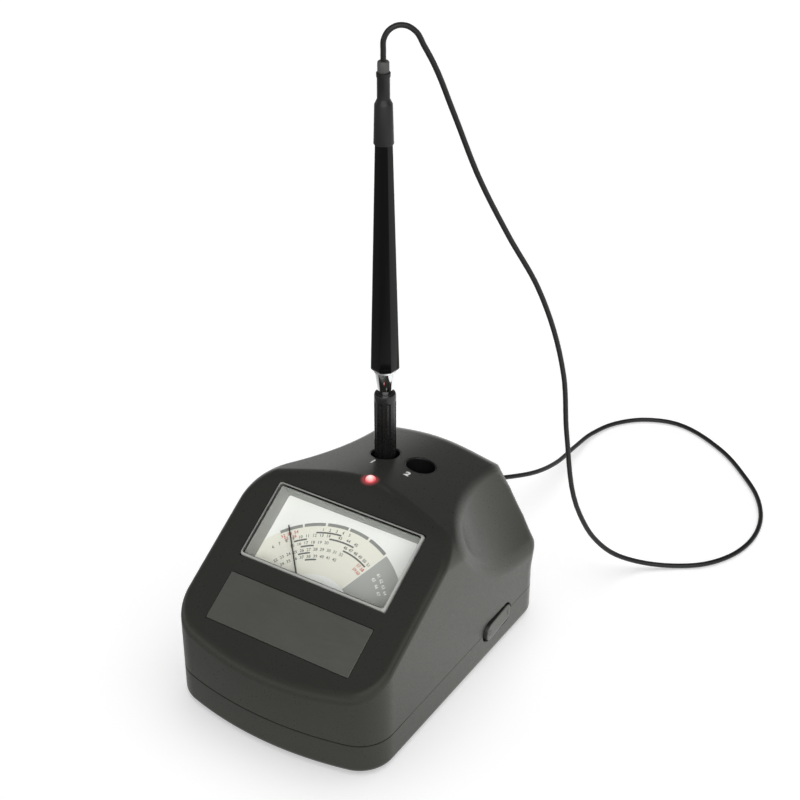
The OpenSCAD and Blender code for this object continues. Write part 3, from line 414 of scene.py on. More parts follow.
# ---- Camera: the photograph's view, taken as 800 x 800 ----
PHOTO_SIDE, FOCAL_PX, SENSOR_MM = 800, 1703.38, 36.0
EYE = Vector((320.91, -468.78, 482.45)) * MM
VIEW_RIGHT, VIEW_UP = Vector((0.8425, 0.5388, 0)), Vector((-0.2858, 0.4469, 0.8478))
VIEW_IN = Vector((-0.4567, 0.7142, -0.5305))
camera = shown("camera", bpy.data.cameras.new("camera"))
camera.data.sensor_width = SENSOR_MM
camera.data.lens = FOCAL_PX / PHOTO_SIDE * SENSOR_MM
camera.data.clip_start, camera.data.clip_end = 0.01, 20
camera.matrix_world = Matrix((VIEW_RIGHT, VIEW_UP, -VIEW_IN)).transposed().to_4x4()
camera.location = EYE
bpy.context.scene.camera = camera


# ---- Geometry node trees: tubes along a path, and small parts set on points ----
def geometry_tree(name, inputs, build):
    """A tree that gives a finish to what build makes of its inputs, and the inputs' identifiers."""
    tree = bpy.data.node_groups.new(name, "GeometryNodeTree")
    for way in ("INPUT", "OUTPUT"):
        tree.interface.new_socket("Geometry", in_out=way, socket_type="NodeSocketGeometry")
    keys = {}
    for label, kind in {**inputs, "Finish": "NodeSocketMaterial"}.items():
        keys[label] = tree.interface.new_socket(label, in_out="INPUT", socket_type=kind).identifier
    start, end = tree.nodes.new("NodeGroupInput").outputs, tree.nodes.new("NodeGroupOutput").inputs
    real = add(tree, "RealizeInstances", {"Geometry": build(tree, start)})[0]
    paint = add(tree, "SetMaterial", {"Geometry": real, "Material": start["Finish"]})
    tree.links.new(paint[0], end[0])
    return tree, keys


def tube_along(tree, start):
    """A round tube along the edges of a line of points."""
    line = add(tree, "MeshToCurve", {"Mesh": start["Geometry"]})[0]
    size = {"Resolution": start["Sides"], "Radius": start["Radius"]}
    ring = add(tree, "CurvePrimitiveCircle", size)[0]
    skin = {"Curve": line, "Profile Curve": ring, "Fill Caps": True}
    return add(tree, "CurveToMesh", skin)[0]


def unit_on_points(tree, start):
    """One unit on each point of a mesh."""
    unit = add(tree, "ObjectInfo", {"Object": start["Unit"]})["Geometry"]
    return add(tree, "InstanceOnPoints", {"Points": start["Geometry"], "Instance": unit})[0]


TUBES = geometry_tree("tube_along_path", {"Radius": "NodeSocketFloat", "Sides": "NodeSocketInt"}, tube_along)
UNITS = geometry_tree("units_on_points", {"Unit": "NodeSocketObject"}, unit_on_points)


def grown(points, edges, tree_and_keys, values):
    """The plain mesh that a tree makes from points in millimetres and edges."""
    tree, keys = tree_and_keys
    base = bpy.data.meshes.new("tree_base")
    base.from_pydata((np.asarray(points, float) * MM).tolist(), edges, [])
    carrier = shown("tree_carrier", base)
    modifier = carrier.modifiers.new("tree", "NODES")
    modifier.node_group = tree
    for label, value in values.items():
        modifier[keys[label]] = value
    carrier.update_tag()
    return baked(carrier)


def tube_mesh(path, radius, sides, finish):
    """A tube mesh along a path of points."""
    edges = [(k, k + 1) for k in range(len(path) - 1)]
    return faced_out(grown(path, edges, TUBES, {"Radius": radius * MM, "Sides": sides, "Finish": finish}))


def unit_mesh(part, places, finish):
    """A mesh with one copy of a part on each place."""
    unit = shown("unit", part_mesh("unit", part))
    mesh = grown(places, [], UNITS, {"Unit": unit, "Finish": finish})
    bpy.data.objects.remove(unit)
    return mesh


# ---- Cord: from the outlet in the back wall, round on the table and up to the pen's cap ----
def lift(z):
    """Height of the cord's middle when its lower side is at z."""
    return z + CORD_D / 2


CORD_POINTS = [
    (GLAND_X, BACK_Y + GLAND_LEN, GLAND_Z), (GLAND_X, BACK_Y + GLAND_LEN + 4, GLAND_Z),
    (-11.7, 89.8, 26.8), (-10.1, 96.4, 26.1), (-6.2, 104.8, 24.9), (0.2, 115.4, 22.4),
    (9.4, 141, 14.9), (10.2, 160, 9.6), (8.4, 184.3, 4.9), (8.4, 203.6, 2.3), (13.2, 219.4, lift(0.2)),
    (23.4, 231, lift(0)), (36.8, 236.8, lift(0)), (69.8, 226.9, lift(0)), (88.2, 212.2, lift(0)),
    (102, 197.2, lift(0)), (110.1, 181.4, lift(0)), (112.8, 163.6, lift(0)), (109.6, 147.6, lift(0)),
    (101.6, 134.4, lift(0.1)), (88.6, 124.3, lift(0.4)), (77.2, 116.2, 4.2), (67.2, 107, 11.4),
    (60.3, 100.4, 21.8), (55.4, 95.8, 34.8), (49.2, 90, 79), (47.1, 88, 108.8), (37.4, 78.9, 152.6),
    (27.9, 69.9, 177.1), (18.6, 61.2, 203.5), (10.8, 53.9, 231.5), (4.76, 48.18, 252.5),
    (2.32, 45.87, 258.96), (0.18, 43.83, 264.36), (-2.45, 41.34, 266.93), (-5.16, 38.76, 267.17),
    (-7.4, 36.63, 265.44), (-8.66, 35.44, 262.29), (*PEN, CAP_Z + 4), (*PEN, CAP_Z),
]


def smooth_path(points, steps=8):
    """A smooth curve through the points, short spans leading its direction more than long ones."""
    p = np.array(points, float)
    span = np.linalg.norm(np.diff(p, axis=0), axis=1)[:, None]
    way = np.diff(p, axis=0) / span
    lean = (way[:-1] * span[1:] + way[1:] * span[:-1]) / (span[:-1] + span[1:])
    lean = np.concatenate([way[:1], lean, way[-1:]])
    t = np.linspace(0, 1, steps, endpoint=False)[:, None]
    curve = [
        (1 + 2 * t) * (1 - t) ** 2 * a + t**2 * (3 - 2 * t) * b + t * (1 - t) * size * ((1 - t) * u - t * w)
        for a, b, size, u, w in zip(p, p[1:], span, lean, lean[1:])
    ]
    return np.concatenate([*curve, p[-1:]])


cord_path = smooth_path(CORD_POINTS)
cord = shown("probe_cord_tube", tube_mesh(cord_path, CORD_D / 2, 20, CORD_PVC))
cord.data.materials.clear()
cord.data.materials.append(CORD_PVC)
cord.data.shade_smooth()
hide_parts("probe_cord")
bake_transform(cord)


# ---- Housing form: the same rounded cuts as the solids, sampled finer ----
def round_cut(a, b, r):
    """Distance to what two forms share, its edge rounded."""
    return np.minimum(-r, np.maximum(a, b)) + np.hypot(np.maximum(r + a, 0), np.maximum(r + b, 0))


def ramp(a, b, t):
    """Zero up to a, rising evenly to one at b."""
    return np.clip((t - a) / (b - a), 0, 1)


def roof_h(x, y):
    """Height of the roof: falling to the back and to both sides from a soft ridge."""
    return ROOF_Z - ROOF_FALL * (y - ROOF_Y) - (np.sqrt((ROOF_GABLE * x) ** 2 + ROOF_SOFT**2) - ROOF_SOFT)


ROOF_TRUE, SCOOP_TRUE = 0.97, 1.03  # make the slopes' heights into distances
REAR_LOW, REAR_HIGH = (24, 46), (58, 70)  # heights over which the rear corners' radius changes


def form_parts(p):
    """Distances to the walls, the roof, the finger scoops, the back and the panel, negative inside."""
    x, y, z = np.abs(p[..., 0]), p[..., 1], p[..., 2]
    corner = x * (ARC_Y - FC_Y) > FC_X * (ARC_Y - y)
    front = np.where(corner, np.hypot(x - FC_X, y - FC_Y) - CORNER_FRONT, np.hypot(x, y - ARC_Y) - ARC_R)
    side = np.where(y < FC_Y, front, x - HALF_W)
    roof = ROOF_TRUE * (z - roof_h(x, y))
    arc = (np.maximum(BACK_Y - y, 0) / SCOOP_LEN) ** SCOOP_BEND
    across = math.cos(SCOOP_TILT) * z - math.sin(SCOOP_TILT) * x - SCOOP_MID
    hollow = SCOOP_DISH * np.maximum(-1, 1 - (across / SCOOP_HALF) ** 2)
    lean = np.sqrt(SCOOP_TRUE + (SCOOP_BEND * SCOOP_RISE / SCOOP_LEN * arc ** (1 - 1 / SCOOP_BEND)) ** 2)
    out = math.cos(SCOOP_TILT) * x + math.sin(SCOOP_TILT) * z
    scoop = (out - SCOOP_REACH - SCOOP_RISE * arc + hollow) / lean
    panel = (z - PANEL_Z - math.tan(PANEL_TILT) * y) * math.cos(PANEL_TILT)
    return side, roof, scoop, y - BACK_Y, panel


def form_dist(p, with_panel=True):
    """Distance to the whole rounded housing, negative inside."""
    side, roof, scoop, back, panel = form_parts(p)
    low, middle, high, z = CORNER_REAR, SCOOP_R + 1, SHOULDER_R, p[..., 2]
    rear = low + (middle - low) * ramp(*REAR_LOW, z) + (high - middle) * ramp(*REAR_HIGH, z)
    shell = round_cut(round_cut(round_cut(side, roof, SHOULDER_R), scoop, SCOOP_EDGE), back, rear)
    return round_cut(shell, panel, PANEL_R) if with_panel else shell


def plan_ring(inset):
    """Points round the housing's plan outline, set in."""
    a = np.linspace(0, FC_A, 15, endpoint=False)
    front = np.stack([(ARC_R - inset) * np.sin(a), ARC_Y - (ARC_R - inset) * np.cos(a)], 1)
    near = (FC_X, FC_Y) + polar(CORNER_FRONT - inset, np.linspace(FC_A - math.pi / 2, 0, 21))
    plain, scooped = np.linspace(FC_Y, SCOOP_Y, 25), np.linspace(SCOOP_Y, RC_Y, 66, endpoint=False)
    y = np.concatenate([plain[1:], scooped[1:]])
    side = np.stack([np.full_like(y, HALF_W - inset), y], 1)
    far = (RC_X, RC_Y) + polar(CORNER_REAR - inset, np.linspace(0, math.pi / 2, 24))
    x = np.linspace(RC_X, 0, 36)[1:]
    back = np.stack([x, np.full_like(x, BACK_Y - inset)], 1)
    half = np.concatenate([front, near, side, far, back])
    return np.concatenate([half, half[-2:0:-1] * (-1, 1)])


HEART = np.array([0, -6, PART_Z])
POLE = np.array([0, -28, PANEL_Z - 28 * math.tan(PANEL_TILT)])
RAY_NEAR, RAY_FAR, RAY_HALVINGS, ANGLE_HALVINGS = 3.0, 140.0, 26, 16
# Half widths of the finer rows at the rounds, and how they keep clear of each other
PANEL_BAND, SHOULDER_BAND = math.radians(2.4), math.radians(5.5)
RIDGE_MOST, BAND_MOST, PANEL_PAST = 0.86, 0.4, 2.2


def halved(low, high, rounds, past):
    """Where a test turns true between two bounds, found by halving."""
    for _ in range(rounds):
        middle = (low + high) / 2
        beyond = past(middle)
        low, high = np.where(beyond, low, middle), np.where(beyond, middle, high)
    return (low + high) / 2


def hit(directions, inset, with_panel=True):
    """Where rays from the housing's heart meet the form set in by inset."""
    near, far = (np.full(directions.shape[:-1], reach) for reach in (RAY_NEAR, RAY_FAR))

    def outside(reach):
        return form_dist(HEART + directions * reach[..., None], with_panel) + inset >= 0

    return HEART + directions * halved(near, far, RAY_HALVINGS, outside)[..., None]


def meridians(foot, inset, counts):
    """Lines of points from the parting line over wall, roof and panel edge, one for each foot point."""
    e = foot - HEART
    e /= np.linalg.norm(e, axis=1, keepdims=True)
    t = (POLE - HEART) / np.linalg.norm(POLE - HEART)
    w = t - e * (e @ t)[:, None]
    w /= np.linalg.norm(w, axis=1, keepdims=True)

    def steer(a):
        return e[:, None] * np.cos(a)[..., None] + w[:, None] * np.sin(a)[..., None]

    def turning(top, passed):
        def beyond(a):
            return passed(hit(steer(a[:, None])[:, 0], inset, False))

        return halved(np.zeros(len(e)), top, ANGLE_HALVINGS, beyond)

    def over_roof(p):
        side, roof, scoop, back, _ = form_parts(p)
        return roof > np.maximum(np.maximum(side, scoop), back)

    edge = turning(np.arccos(e @ t), lambda p: form_parts(p)[4] + inset > 0)
    top = edge - PANEL_BAND
    ridge = np.minimum(RIDGE_MOST * top, turning(edge, over_roof))
    band = np.minimum(SHOULDER_BAND, BAND_MOST * (top - ridge))
    share = [np.linspace(0, 1, n + 1)[1:] for n in counts]
    stops = [
        (ridge - band)[:, None] * share[0],
        (ridge - band)[:, None] + (2 * band)[:, None] * share[1],
        (ridge + band)[:, None] + (top - ridge - band)[:, None] * share[2],
        top[:, None] + 2 * PANEL_BAND * share[3],
        (edge + PANEL_PAST * PANEL_BAND)[:, None],
    ]
    return np.concatenate([foot[:, None], hit(steer(np.concatenate(stops, 1)), inset)], 1)


LAMP_FOOT = Vector((0, LAMP_Y, float(roof_h(0.0, LAMP_Y))))
LAMP_UP = Matrix.Rotation(LAMP_TILT, 3, "X") @ Vector((0, 0, 1))
LAMP_TOP = np.array(LAMP_FOOT + LAMP_UP * (LAMP_D / 2 - LAMP_SUNK))
LAMP_AT = Matrix.Translation(LAMP_FOOT) @ spin(LAMP_TILT, "X")


def key_window():
    """Cutter of the key's slot in the side wall, with an eased mouth."""
    levels = [(HALF_W - 8, 0), (HALF_W - 0.5, 0), (HALF_W + 0.05, 0.4), (HALF_W + 6, 0.4)]
    return flared_cut(stadium, KEY_LEN, KEY_H, levels, shift(0, KEY_Y, KEY_Z) @ OUT_OF_SIDE)


def bore(radius, low, high, matrix, sides=96):
    """Cutter of a round hole."""
    return turned(lathe([(radius, low), (radius, high)], sides), matrix)


def housing_mesh():
    """The upper housing as one closed shell with its openings cut."""
    rims = [(EDGE_R, 0.0), (0.3 * EDGE_R, 0.3 * EDGE_R), (0.0, EDGE_R)]
    rings = [at_height(plan_ring(inset), PART_Z + z) for inset, z in rims]
    outer = np.concatenate([np.stack(rings[:2], 1), meridians(rings[2], 0, (56, 16, 26, 12))], 1)
    inner = meridians(at_height(plan_ring(WALL), PART_Z), WALL, (8, 3, 5, 3))
    n, ko, ki = len(outer), outer.shape[1], inner.shape[1]
    poles = [POLE, POLE - (0, 0, WALL / math.cos(PANEL_TILT))]
    points = np.concatenate([outer.reshape(-1, 3), inner.reshape(-1, 3), poles])
    start, tip = n * ko, n * (ko + ki)
    faces = []
    for i in range(n):
        a, b = i * ko, (i + 1) % n * ko
        c, d = start + i * ki, start + (i + 1) % n * ki
        faces += [(a + j, b + j, b + j + 1, a + j + 1) for j in range(ko - 1)]
        faces += [(c + j, c + j + 1, d + j + 1, d + j) for j in range(ki - 1)]
        faces += [(a + ko - 1, b + ko - 1, tip), (d + ki - 1, c + ki - 1, tip + 1), (a, c, d, b)]
    eased = [(-12, 0), (-0.35, 0), (0.15, 0.4), (5, 0.4)]
    shallow = [(-PLATE_T - 0.1, 0), (-0.25, 0), (0.1, 0.2), (5, 0.2)]
    cutters = [
        flared_cut(lambda w, h: round_rect(w, h, 0.8), COVER_W + 0.6, COVER_H + 0.6, eased, PANEL),
        flared_cut(lambda w, h: round_rect(w, h, 0.6), PLATE_W + 0.5, PLATE_H + 0.5, shallow, PLATE_AT),
        bore(LAMP_D / 2 + 0.15, -8, 8, LAMP_AT),
        bore(GLAND_NECK + 0.1, -8, 8, GLAND),
        key_window(),
    ]
    for x in (-WELL_X, WELL_X):
        cutters.append(bore(WELL_D / 2 + SLEEVE_T + 0.05, DISC_Z - 6, 100, shift(x, WELL_Y, 0)))
    return cut("housing", part_mesh("housing", (points, faces)), cutters)


def read_all(items, word, width, kind):
    """One property of all items of a mesh, a row each."""
    values = np.zeros(len(items) * width, kind)
    items.foreach_get(word, values)
    return values.reshape(-1, width) if width > 1 else values


def true_normals(mesh):
    """Gives the housing's skin the form's own normals, so that its rounds shade without facets."""
    p = read_all(mesh.vertices, "co", 3, float) / MM
    step, on_form, like = 0.05, 0.04, 0.75
    slope = np.stack([form_dist(p + step * axis) - form_dist(p - step * axis) for axis in np.eye(3)], 1)
    slope /= np.linalg.norm(slope, axis=1, keepdims=True) + 1e-12
    on_skin = (np.abs(form_dist(p)) < on_form) & (p[:, 2] > PART_Z + 0.9 * EDGE_R)
    corner = read_all(mesh.loops, "vertex_index", 1, np.int32)
    size = read_all(mesh.polygons, "loop_total", 1, np.int32)
    face = np.repeat(read_all(mesh.polygons, "normal", 3, float), size, axis=0)
    keep = on_skin[corner] & ((slope[corner] * face).sum(1) > like)
    mesh.normals_split_custom_set(np.where(keep[:, None], slope[corner], face).tolist())


# Painted light: the moulding's own material glows red close round the lit lamp, standing in for the lamp's
# spill on it
glow_round(ABS, LAMP_TOP, 2.2, 5.0, "SMOOTHERSTEP", ((0.0, "#a03a40"), (1.0, "#000000")), 1.0)
shell = housing_mesh()
housing = place_piece("upper_housing_shell", shell, ABS, "housing", "housing_abs", "upper_housing", sharp=0)
true_normals(shell)


# ---- Tray: a shallow pan under the parting line ----
def node_places(node):
    """Centres in plan of the four like solids of a node, one near each of its corners."""
    co = np.array([v.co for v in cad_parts[node].data.vertices]) / MM
    middle = (co.min(0) + co.max(0)) / 2
    places = []
    for sx in (-1, 1):
        for sy in (-1, 1):
            near = co[((co[:, 0] - middle[0]) * sx > 0) & ((co[:, 1] - middle[1]) * sy > 0)]
            places.append((near[:, :2].min(0) + near[:, :2].max(0)) / 2)
    return places


def block(low, high):
    """Part of a box between two corners."""
    plan = np.array([(low[0], low[1]), (high[0], low[1]), (high[0], high[1]), (low[0], high[1])])
    return loft([at_height(plan, z) for z in (low[2], high[2])])


# Clearance round the battery door, and its rails' width and heights above the base
DOOR_GAP, RAIL_W, RAIL_Z = 0.3, 1.2, (0.93, 2.0)
HEM_IN, HEM_H, HEM_BEND = 1.5, 3, 2.4  # soft lower edge
# Radius of each recess, and its depth from 1 mm under the base
RECESSES = (("case_screws", 3.2, 4.5), ("rubber_feet", 6.15, 2.2))


def tray_mesh():
    """The pan with a soft lower edge, and its cuts for the key, the battery door, the screws and the feet."""
    floor_z = TRAY_Z + WALL
    top = PART_Z - FRONT_GAP + (FRONT_GAP - PART_GAP) * ramp(*GAP_FADE_Y, plan_ring(0)[:, 1])
    loops = [(WALL + 0.8, floor_z), (WALL, floor_z + 1), (WALL, top), (EDGE_R, top)]
    loops += [(0.3 * EDGE_R, top - 0.3 * EDGE_R), (0, top - EDGE_R), (0, top - 3 * EDGE_R), (0, TRAY_Z + 3.5)]
    loops += [(HEM_IN * t**HEM_BEND, TRAY_Z + HEM_H * (1 - t)) for t in np.linspace(0, 1, 10)]
    mesh = part_mesh("tray", loft([at_height(plan_ring(inset), z) for inset, z in loops]))
    door_low, door_high = (np.array(v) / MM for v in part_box("battery_door"))
    left, right, near = door_low[0] - DOOR_GAP, door_high[0] + DOOR_GAP, door_low[1] - DOOR_GAP
    rail_l, rail_r, lip_y = left + RAIL_W, right - RAIL_W, BACK_Y - WALL - 0.6
    opening = block((rail_l, near, TRAY_Z - 3), (rail_r, BACK_Y + 5, floor_z + 1))
    mouth = block((rail_l, lip_y, TRAY_Z - 3.5), (rail_r, BACK_Y + 5.5, door_high[2] + DOOR_GAP))
    grooves = block((left, near, TRAY_Z + RAIL_Z[0]), (right, BACK_Y + 6, TRAY_Z + RAIL_Z[1] + DOOR_GAP))
    recesses = [
        bore(radius, TRAY_Z - 1, TRAY_Z - 1 + depth, shift(x, y, 0), 64)
        for node, radius, depth in RECESSES
        for x, y in node_places(node)
    ]
    # Cutters that overlap each other go into separate cuts
    for cutters in ([key_window(), opening], [mouth, *recesses], [grooves]):
        mesh = cut("tray", mesh, cutters)
    return mesh


tray = place_piece("base_tray_pan", tray_mesh(), TRAY_ABS, "housing", "tray_abs", "base_tray")
LIP_OUT, LIP_IN, LIP_LOW, LIP_HIGH = WALL + 0.35, WALL + 1.6, 13, 17.4
lip_rows = ((LIP_OUT, LIP_LOW), (LIP_IN, LIP_LOW), (LIP_IN, LIP_HIGH), (LIP_OUT, LIP_HIGH))
lip = loft([at_height(plan_ring(inset), z) for inset, z in lip_rows], closed=True)
lip_mesh = cut("lip", part_mesh("lip", lip), [key_window()])
place_piece("base_tray_lip", lip_mesh, BLACK_ABS_AND_SHADE, "housing", "tray_abs")


# ---- CAD nodes that keep their shape: merged copies with soft edges ----
def dressed(node, material, body, slot, bevel_mm):
    """A copy of a node with its loose triangles merged and its corners eased."""
    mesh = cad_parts[node].data.copy()
    bm = bmesh.new()
    bm.from_mesh(mesh)
    bmesh.ops.remove_doubles(bm, verts=bm.verts, dist=1e-6)
    bmesh.ops.dissolve_limit(bm, angle_limit=math.radians(1), verts=bm.verts, edges=bm.edges)
    hard = [e for e in bm.edges if len(e.link_faces) == 2 and e.calc_face_angle(0) > math.radians(40)]
    bmesh.ops.bevel(bm, geom=hard, offset=bevel_mm * MM, segments=2, affect="EDGES", clamp_overlap=True)
    bm.to_mesh(mesh)
    bm.free()
    place_piece(f"{node}_soft", mesh, material, body, slot, node)


dressed("battery_door", TRAY_ABS, "battery_door", "door_abs", 0.25)
dressed("pointer", NEEDLE, "pointer", "needle_paint", 0.05)
dressed("switch_body", BLACK_ABS_AND_SHADE, "housing", "meter_abs", 0.2)


# ---- Feet and screws: one unit of each, set on points ----
def screw_part(shank, head, head_h, length, pitch=0.8):
    """A pan head screw, head down, with a driver's recess."""
    profile = [(0.25 * head, 0.7), (0.3 * head, 0), (head - 0.25, 0), (head, 0.25), (head, head_h)]
    profile.append((shank, head_h + 0.1))
    z = head_h + 0.4
    while z < length - 1:
        profile += [(shank, z), (shank * 0.86, z + pitch / 2)]
        z += pitch
    return lathe(profile + [(0.3 * shank, length)], 32)


foot = lathe([(5.2, 0), (5.5, 0.12), (5.9, 0.6), (6, 0.9), (6, 2.15)], 64)
HEAD_H = 2.2
screw = screw_part(1.45, 2.9, HEAD_H, 20)
for name, part, z, finish, slot, node in (
    ("rubber_feet_set", foot, 0, RUBBER, "foot_rubber", "rubber_feet"),
    ("case_screws_set", screw, TRAY_Z + HEAD_H, ZINC, "screw_steel", "case_screws"),
):
    units = unit_mesh(part, [(x, y, z) for x, y in node_places(node)], finish)
    place_piece(name, units, finish, "housing", slot, node)


# ---- Meter: clear cover, blank nameplate, printed dial ----
def rect_skin(levels, matrix):
    """Part of a skin through rounded rectangles of (width, height, corner, level)."""
    return turned(loft([at_height(round_rect(w, h, r), z) for w, h, r, z in levels]), matrix)


BEVEL = 0.85
inner_w, inner_h, low, face = COVER_W - 2 * SKIRT_T, COVER_H - 2 * SKIRT_T, DIAL_Z + 0.05, COVER_PROUD
cover = [(inner_w, inner_h, 0.8, face - COVER_T), (inner_w, inner_h, 0.8, low), (COVER_W, COVER_H, 1.2, low)]
cover.append((COVER_W, COVER_H, 1.2, face - BEVEL))
for a in np.radians((30, 60, 90)):
    inset = 2 * BEVEL * (1 - math.cos(a))
    cover.append((COVER_W - inset, COVER_H - inset, 1.2, face - BEVEL + BEVEL * math.sin(a)))
passage = [(inner_w, 10, 0.8, z) for z in (low - 2, DIAL_Z + 4.2)]  # lets the needle's arm in
cover_cut = rect_skin(passage, PANEL @ shift(0, -COVER_H / 2, 0))
cover_mesh = cut("cover", part_mesh("cover", rect_skin(cover, PANEL)), [cover_cut])
place_piece("meter_cover_clear", cover_mesh, ACRYLIC, "housing", "cover_acrylic", "meter_cover")
cover_mesh.materials.append(FROSTED)
to_panel = PANEL.inverted()
for side in cover_mesh.polygons:
    level, facing = (to_panel @ (side.center / MM)).z, (to_panel.to_3x3() @ side.normal).z
    clear_top = level >= face - 0.01 or facing >= 0.99
    clear_under = level > face - COVER_T - 0.1 and facing < -0.5
    side.material_index = int(not clear_top and not clear_under)

plate_rows = ((0, -PLATE_T - 0.1), (0, -0.25), (0.1, -0.14), (0.3, -0.1))
plate = [(PLATE_W - less, PLATE_H - less, 0.5, z) for less, z in plate_rows]
make_piece("nameplate_blank", rect_skin(plate, PLATE_AT), PLATE, "housing", "plate_satin", "nameplate")
INK_T, INK_LIFT, NUMBER_LIFT = 0.03, 0.03, 0.05
DIAL_HALF_W = 34.8
FAN, SCALE, BAR_HALF = (19, 41.4), (40.6, 42.0), 0.35
SCALE_ARCS = ((-44.5, -30.8), (-29.6, -16.7), (-15.3, -2.1), (-0.9, 12.1), (13.5, 27.1))
BARS = (
    (37.6, -21.8, -4.5), (34.9, -37.3, -28), (31.8, -32.6, -22.4), (28.6, -35.3, -24.8), (25.5, -29.2, -18.2),
    (35, -11.7, 7.6), (31.8, 2, 25),
)
# Rows of numbers: radius, first and last angle, and how many
NUMBER_H, NUMBER_BOLD = 1.35, 0.02
NUMBER_ROWS = {
    INK_DARK: (
        (38.9, -17.5, 0.5, 5), (36.3, -52, -13, 9), (33.2, -39, -13, 6), (30.0, -60, 2, 12),
        (26.9, -57, -1, 10), (36.4, -4.5, 8, 3), (33.3, 2.5, 25.5, 6),
    ),
    INK_RED: ((39.0, -43.5, -35, 3), (37.3, -42, -36.5, 2), (30.2, 20.5, 25, 2), (28.0, 20.5, 25, 2)),
    INK_PALE: ((34.6, 37, 51, 4), (32, 38, 50, 3)),
}


def arc_loop(r0, r1, a0, a1):
    """Outline of a ring sector, angles in degrees from straight up, kept within the dial's half width."""
    a = np.radians(np.linspace(a0, a1, max(3, int(abs(a1 - a0)))))
    loop = np.concatenate([polar(r1, a), polar(r0, a)[::-1]])[:, ::-1]
    return np.column_stack([np.clip(loop[:, 0], -DIAL_HALF_W, DIAL_HALF_W), loop[:, 1]])


def dial_prints():
    """All printed areas of the dial as (part, ink), from the card up."""
    areas = [(*FAN, -66, 28, 0.0, INK_CREAM), (*FAN, 28.4, 66, 0.0, INK_GREY)]
    areas += [(*SCALE, a, b, INK_LIFT, INK_ARC) for a, b in SCALE_ARCS]
    areas += [(r - BAR_HALF, r + BAR_HALF, a, b, INK_LIFT, INK_DARK) for r, a, b in BARS]
    prints = []
    for r0, r1, a0, a1, up, colour in areas:
        loop = arc_loop(r0, r1, a0, a1)
        prints.append((turned(loft([at_height(loop, DIAL_Z + up + z) for z in (0, INK_T)]), PIVOT), colour))
    return prints


FONT_SIZE = 1.4  # size of the font for figures of height 1


def number_part(text, height, matrix, bold):
    """A plain number as a thin part, its middle at the matrix's origin."""
    curve = bpy.data.curves.new("number", "FONT")
    curve.body, curve.size, curve.align_x, curve.align_y = text, height * FONT_SIZE, "CENTER", "CENTER"
    curve.extrude, curve.resolution_u, curve.offset = INK_T / 2, 3, bold
    mesh = baked(shown("number", curve))
    points = np.array([v.co for v in mesh.vertices])
    return turned((points, [tuple(f.vertices) for f in mesh.polygons]), matrix)


def print_piece(name, items, body, slot):
    """One piece from several thin parts, a material each."""
    inks = list(dict.fromkeys(colour for _, colour in items))
    piece = make_piece(name, join_parts(*[part for part, _ in items]), inks[0], body, slot, sharp=30)
    for colour in inks[1:]:
        piece.data.materials.append(colour)
    index = [inks.index(colour) for part, colour in items for _ in part[1]]
    piece.data.polygons.foreach_set("material_index", index)


def dial_numbers():
    """Plain numbers in rows round the needle's pivot, counted through, as (part, ink)."""
    numbers = []
    for colour, rows in NUMBER_ROWS.items():
        for r, a in ((r, a) for r, a0, a1, n in rows for a in np.radians(np.linspace(a0, a1, n))):
            spot = PIVOT @ shift(r * math.sin(a), r * math.cos(a), DIAL_Z + NUMBER_LIFT) @ spin(-a, "Z")
            numbers.append((number_part(str(len(numbers) + 1), NUMBER_H, spot, NUMBER_BOLD), colour))
    return numbers


card_low, card_high = (np.array(v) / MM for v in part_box("dial_plate"))
CARD_W, CARD_L = card_high[0] - card_low[0], COVER_H / 2 + 1.8 + PIVOT_DROP - 8.5
card_at = PANEL @ shift(0, COVER_H / 2 + 0.3 - CARD_L / 2, 0)
card = rect_skin([(CARD_W, CARD_L, 0.6, z) for z in (DIAL_Z - 0.8, DIAL_Z)], card_at)
make_piece("dial_plate_card", card, DIAL_WHITE, "housing", "dial_card", "dial_plate")
print_piece("dial_print", dial_prints() + dial_numbers(), "housing", "dial_card")

# ---- Lamp: the middle of its dome burns out to pink, and its rim fades to a deep red ----
LAMP_RED = surface("lamp_red_resin_lit", rough=0.3, colour=srgb("#5a1216"))[0]
lamp_stops = ((0.0, "#ffe9e6"), (0.42, "#ffb9b4"), (0.7, "#e0646a"), (1.0, "#8c2a30"))
glow_round(LAMP_RED, LAMP_TOP, 0.2, 3.0, "LINEAR", lamp_stops, 1.15)
LAMP_R = LAMP_D / 2
dome = [(LAMP_R * math.cos(a), -LAMP_SUNK + LAMP_R * math.sin(a)) for a in np.radians(np.linspace(0, 88, 14))]
lens = lathe([(LAMP_R + 0.45, -7), (LAMP_R + 0.45, -5.8), (LAMP_R, -5.8)] + dome, 64)
legs = [bore(0.3, -16, -6.5, shift(x, 0, 0), 16) for x in (-1.27, 1.27)]
make_piece("lamp_dome", turned(join_parts(lens, *legs), LAMP_AT), LAMP_RED, "housing", "lamp_lens", "lamp")


# ---- Wells ----
def well_part(x):
    """A sleeve whose mouth follows the roof, with a small round on its inner edge."""
    r, ease = WELL_D / 2, 0.5
    outer, foot_z = r + SLEEVE_T, DISC_Z - 3.6
    turns = np.radians(np.linspace(0, 90, 6))
    rounds = [(r + ease - ease * math.sin(a), -ease + ease * math.cos(a)) for a in turns]
    loops = []
    for radius, drop in [(outer, -0.02), *rounds, (r, None), (outer, None)]:
        loop = circle(radius) + (x, WELL_Y)
        loops.append(at_height(loop, foot_z if drop is None else roof_h(loop[:, 0], loop[:, 1]) + drop))
    return loft(loops, closed=True)


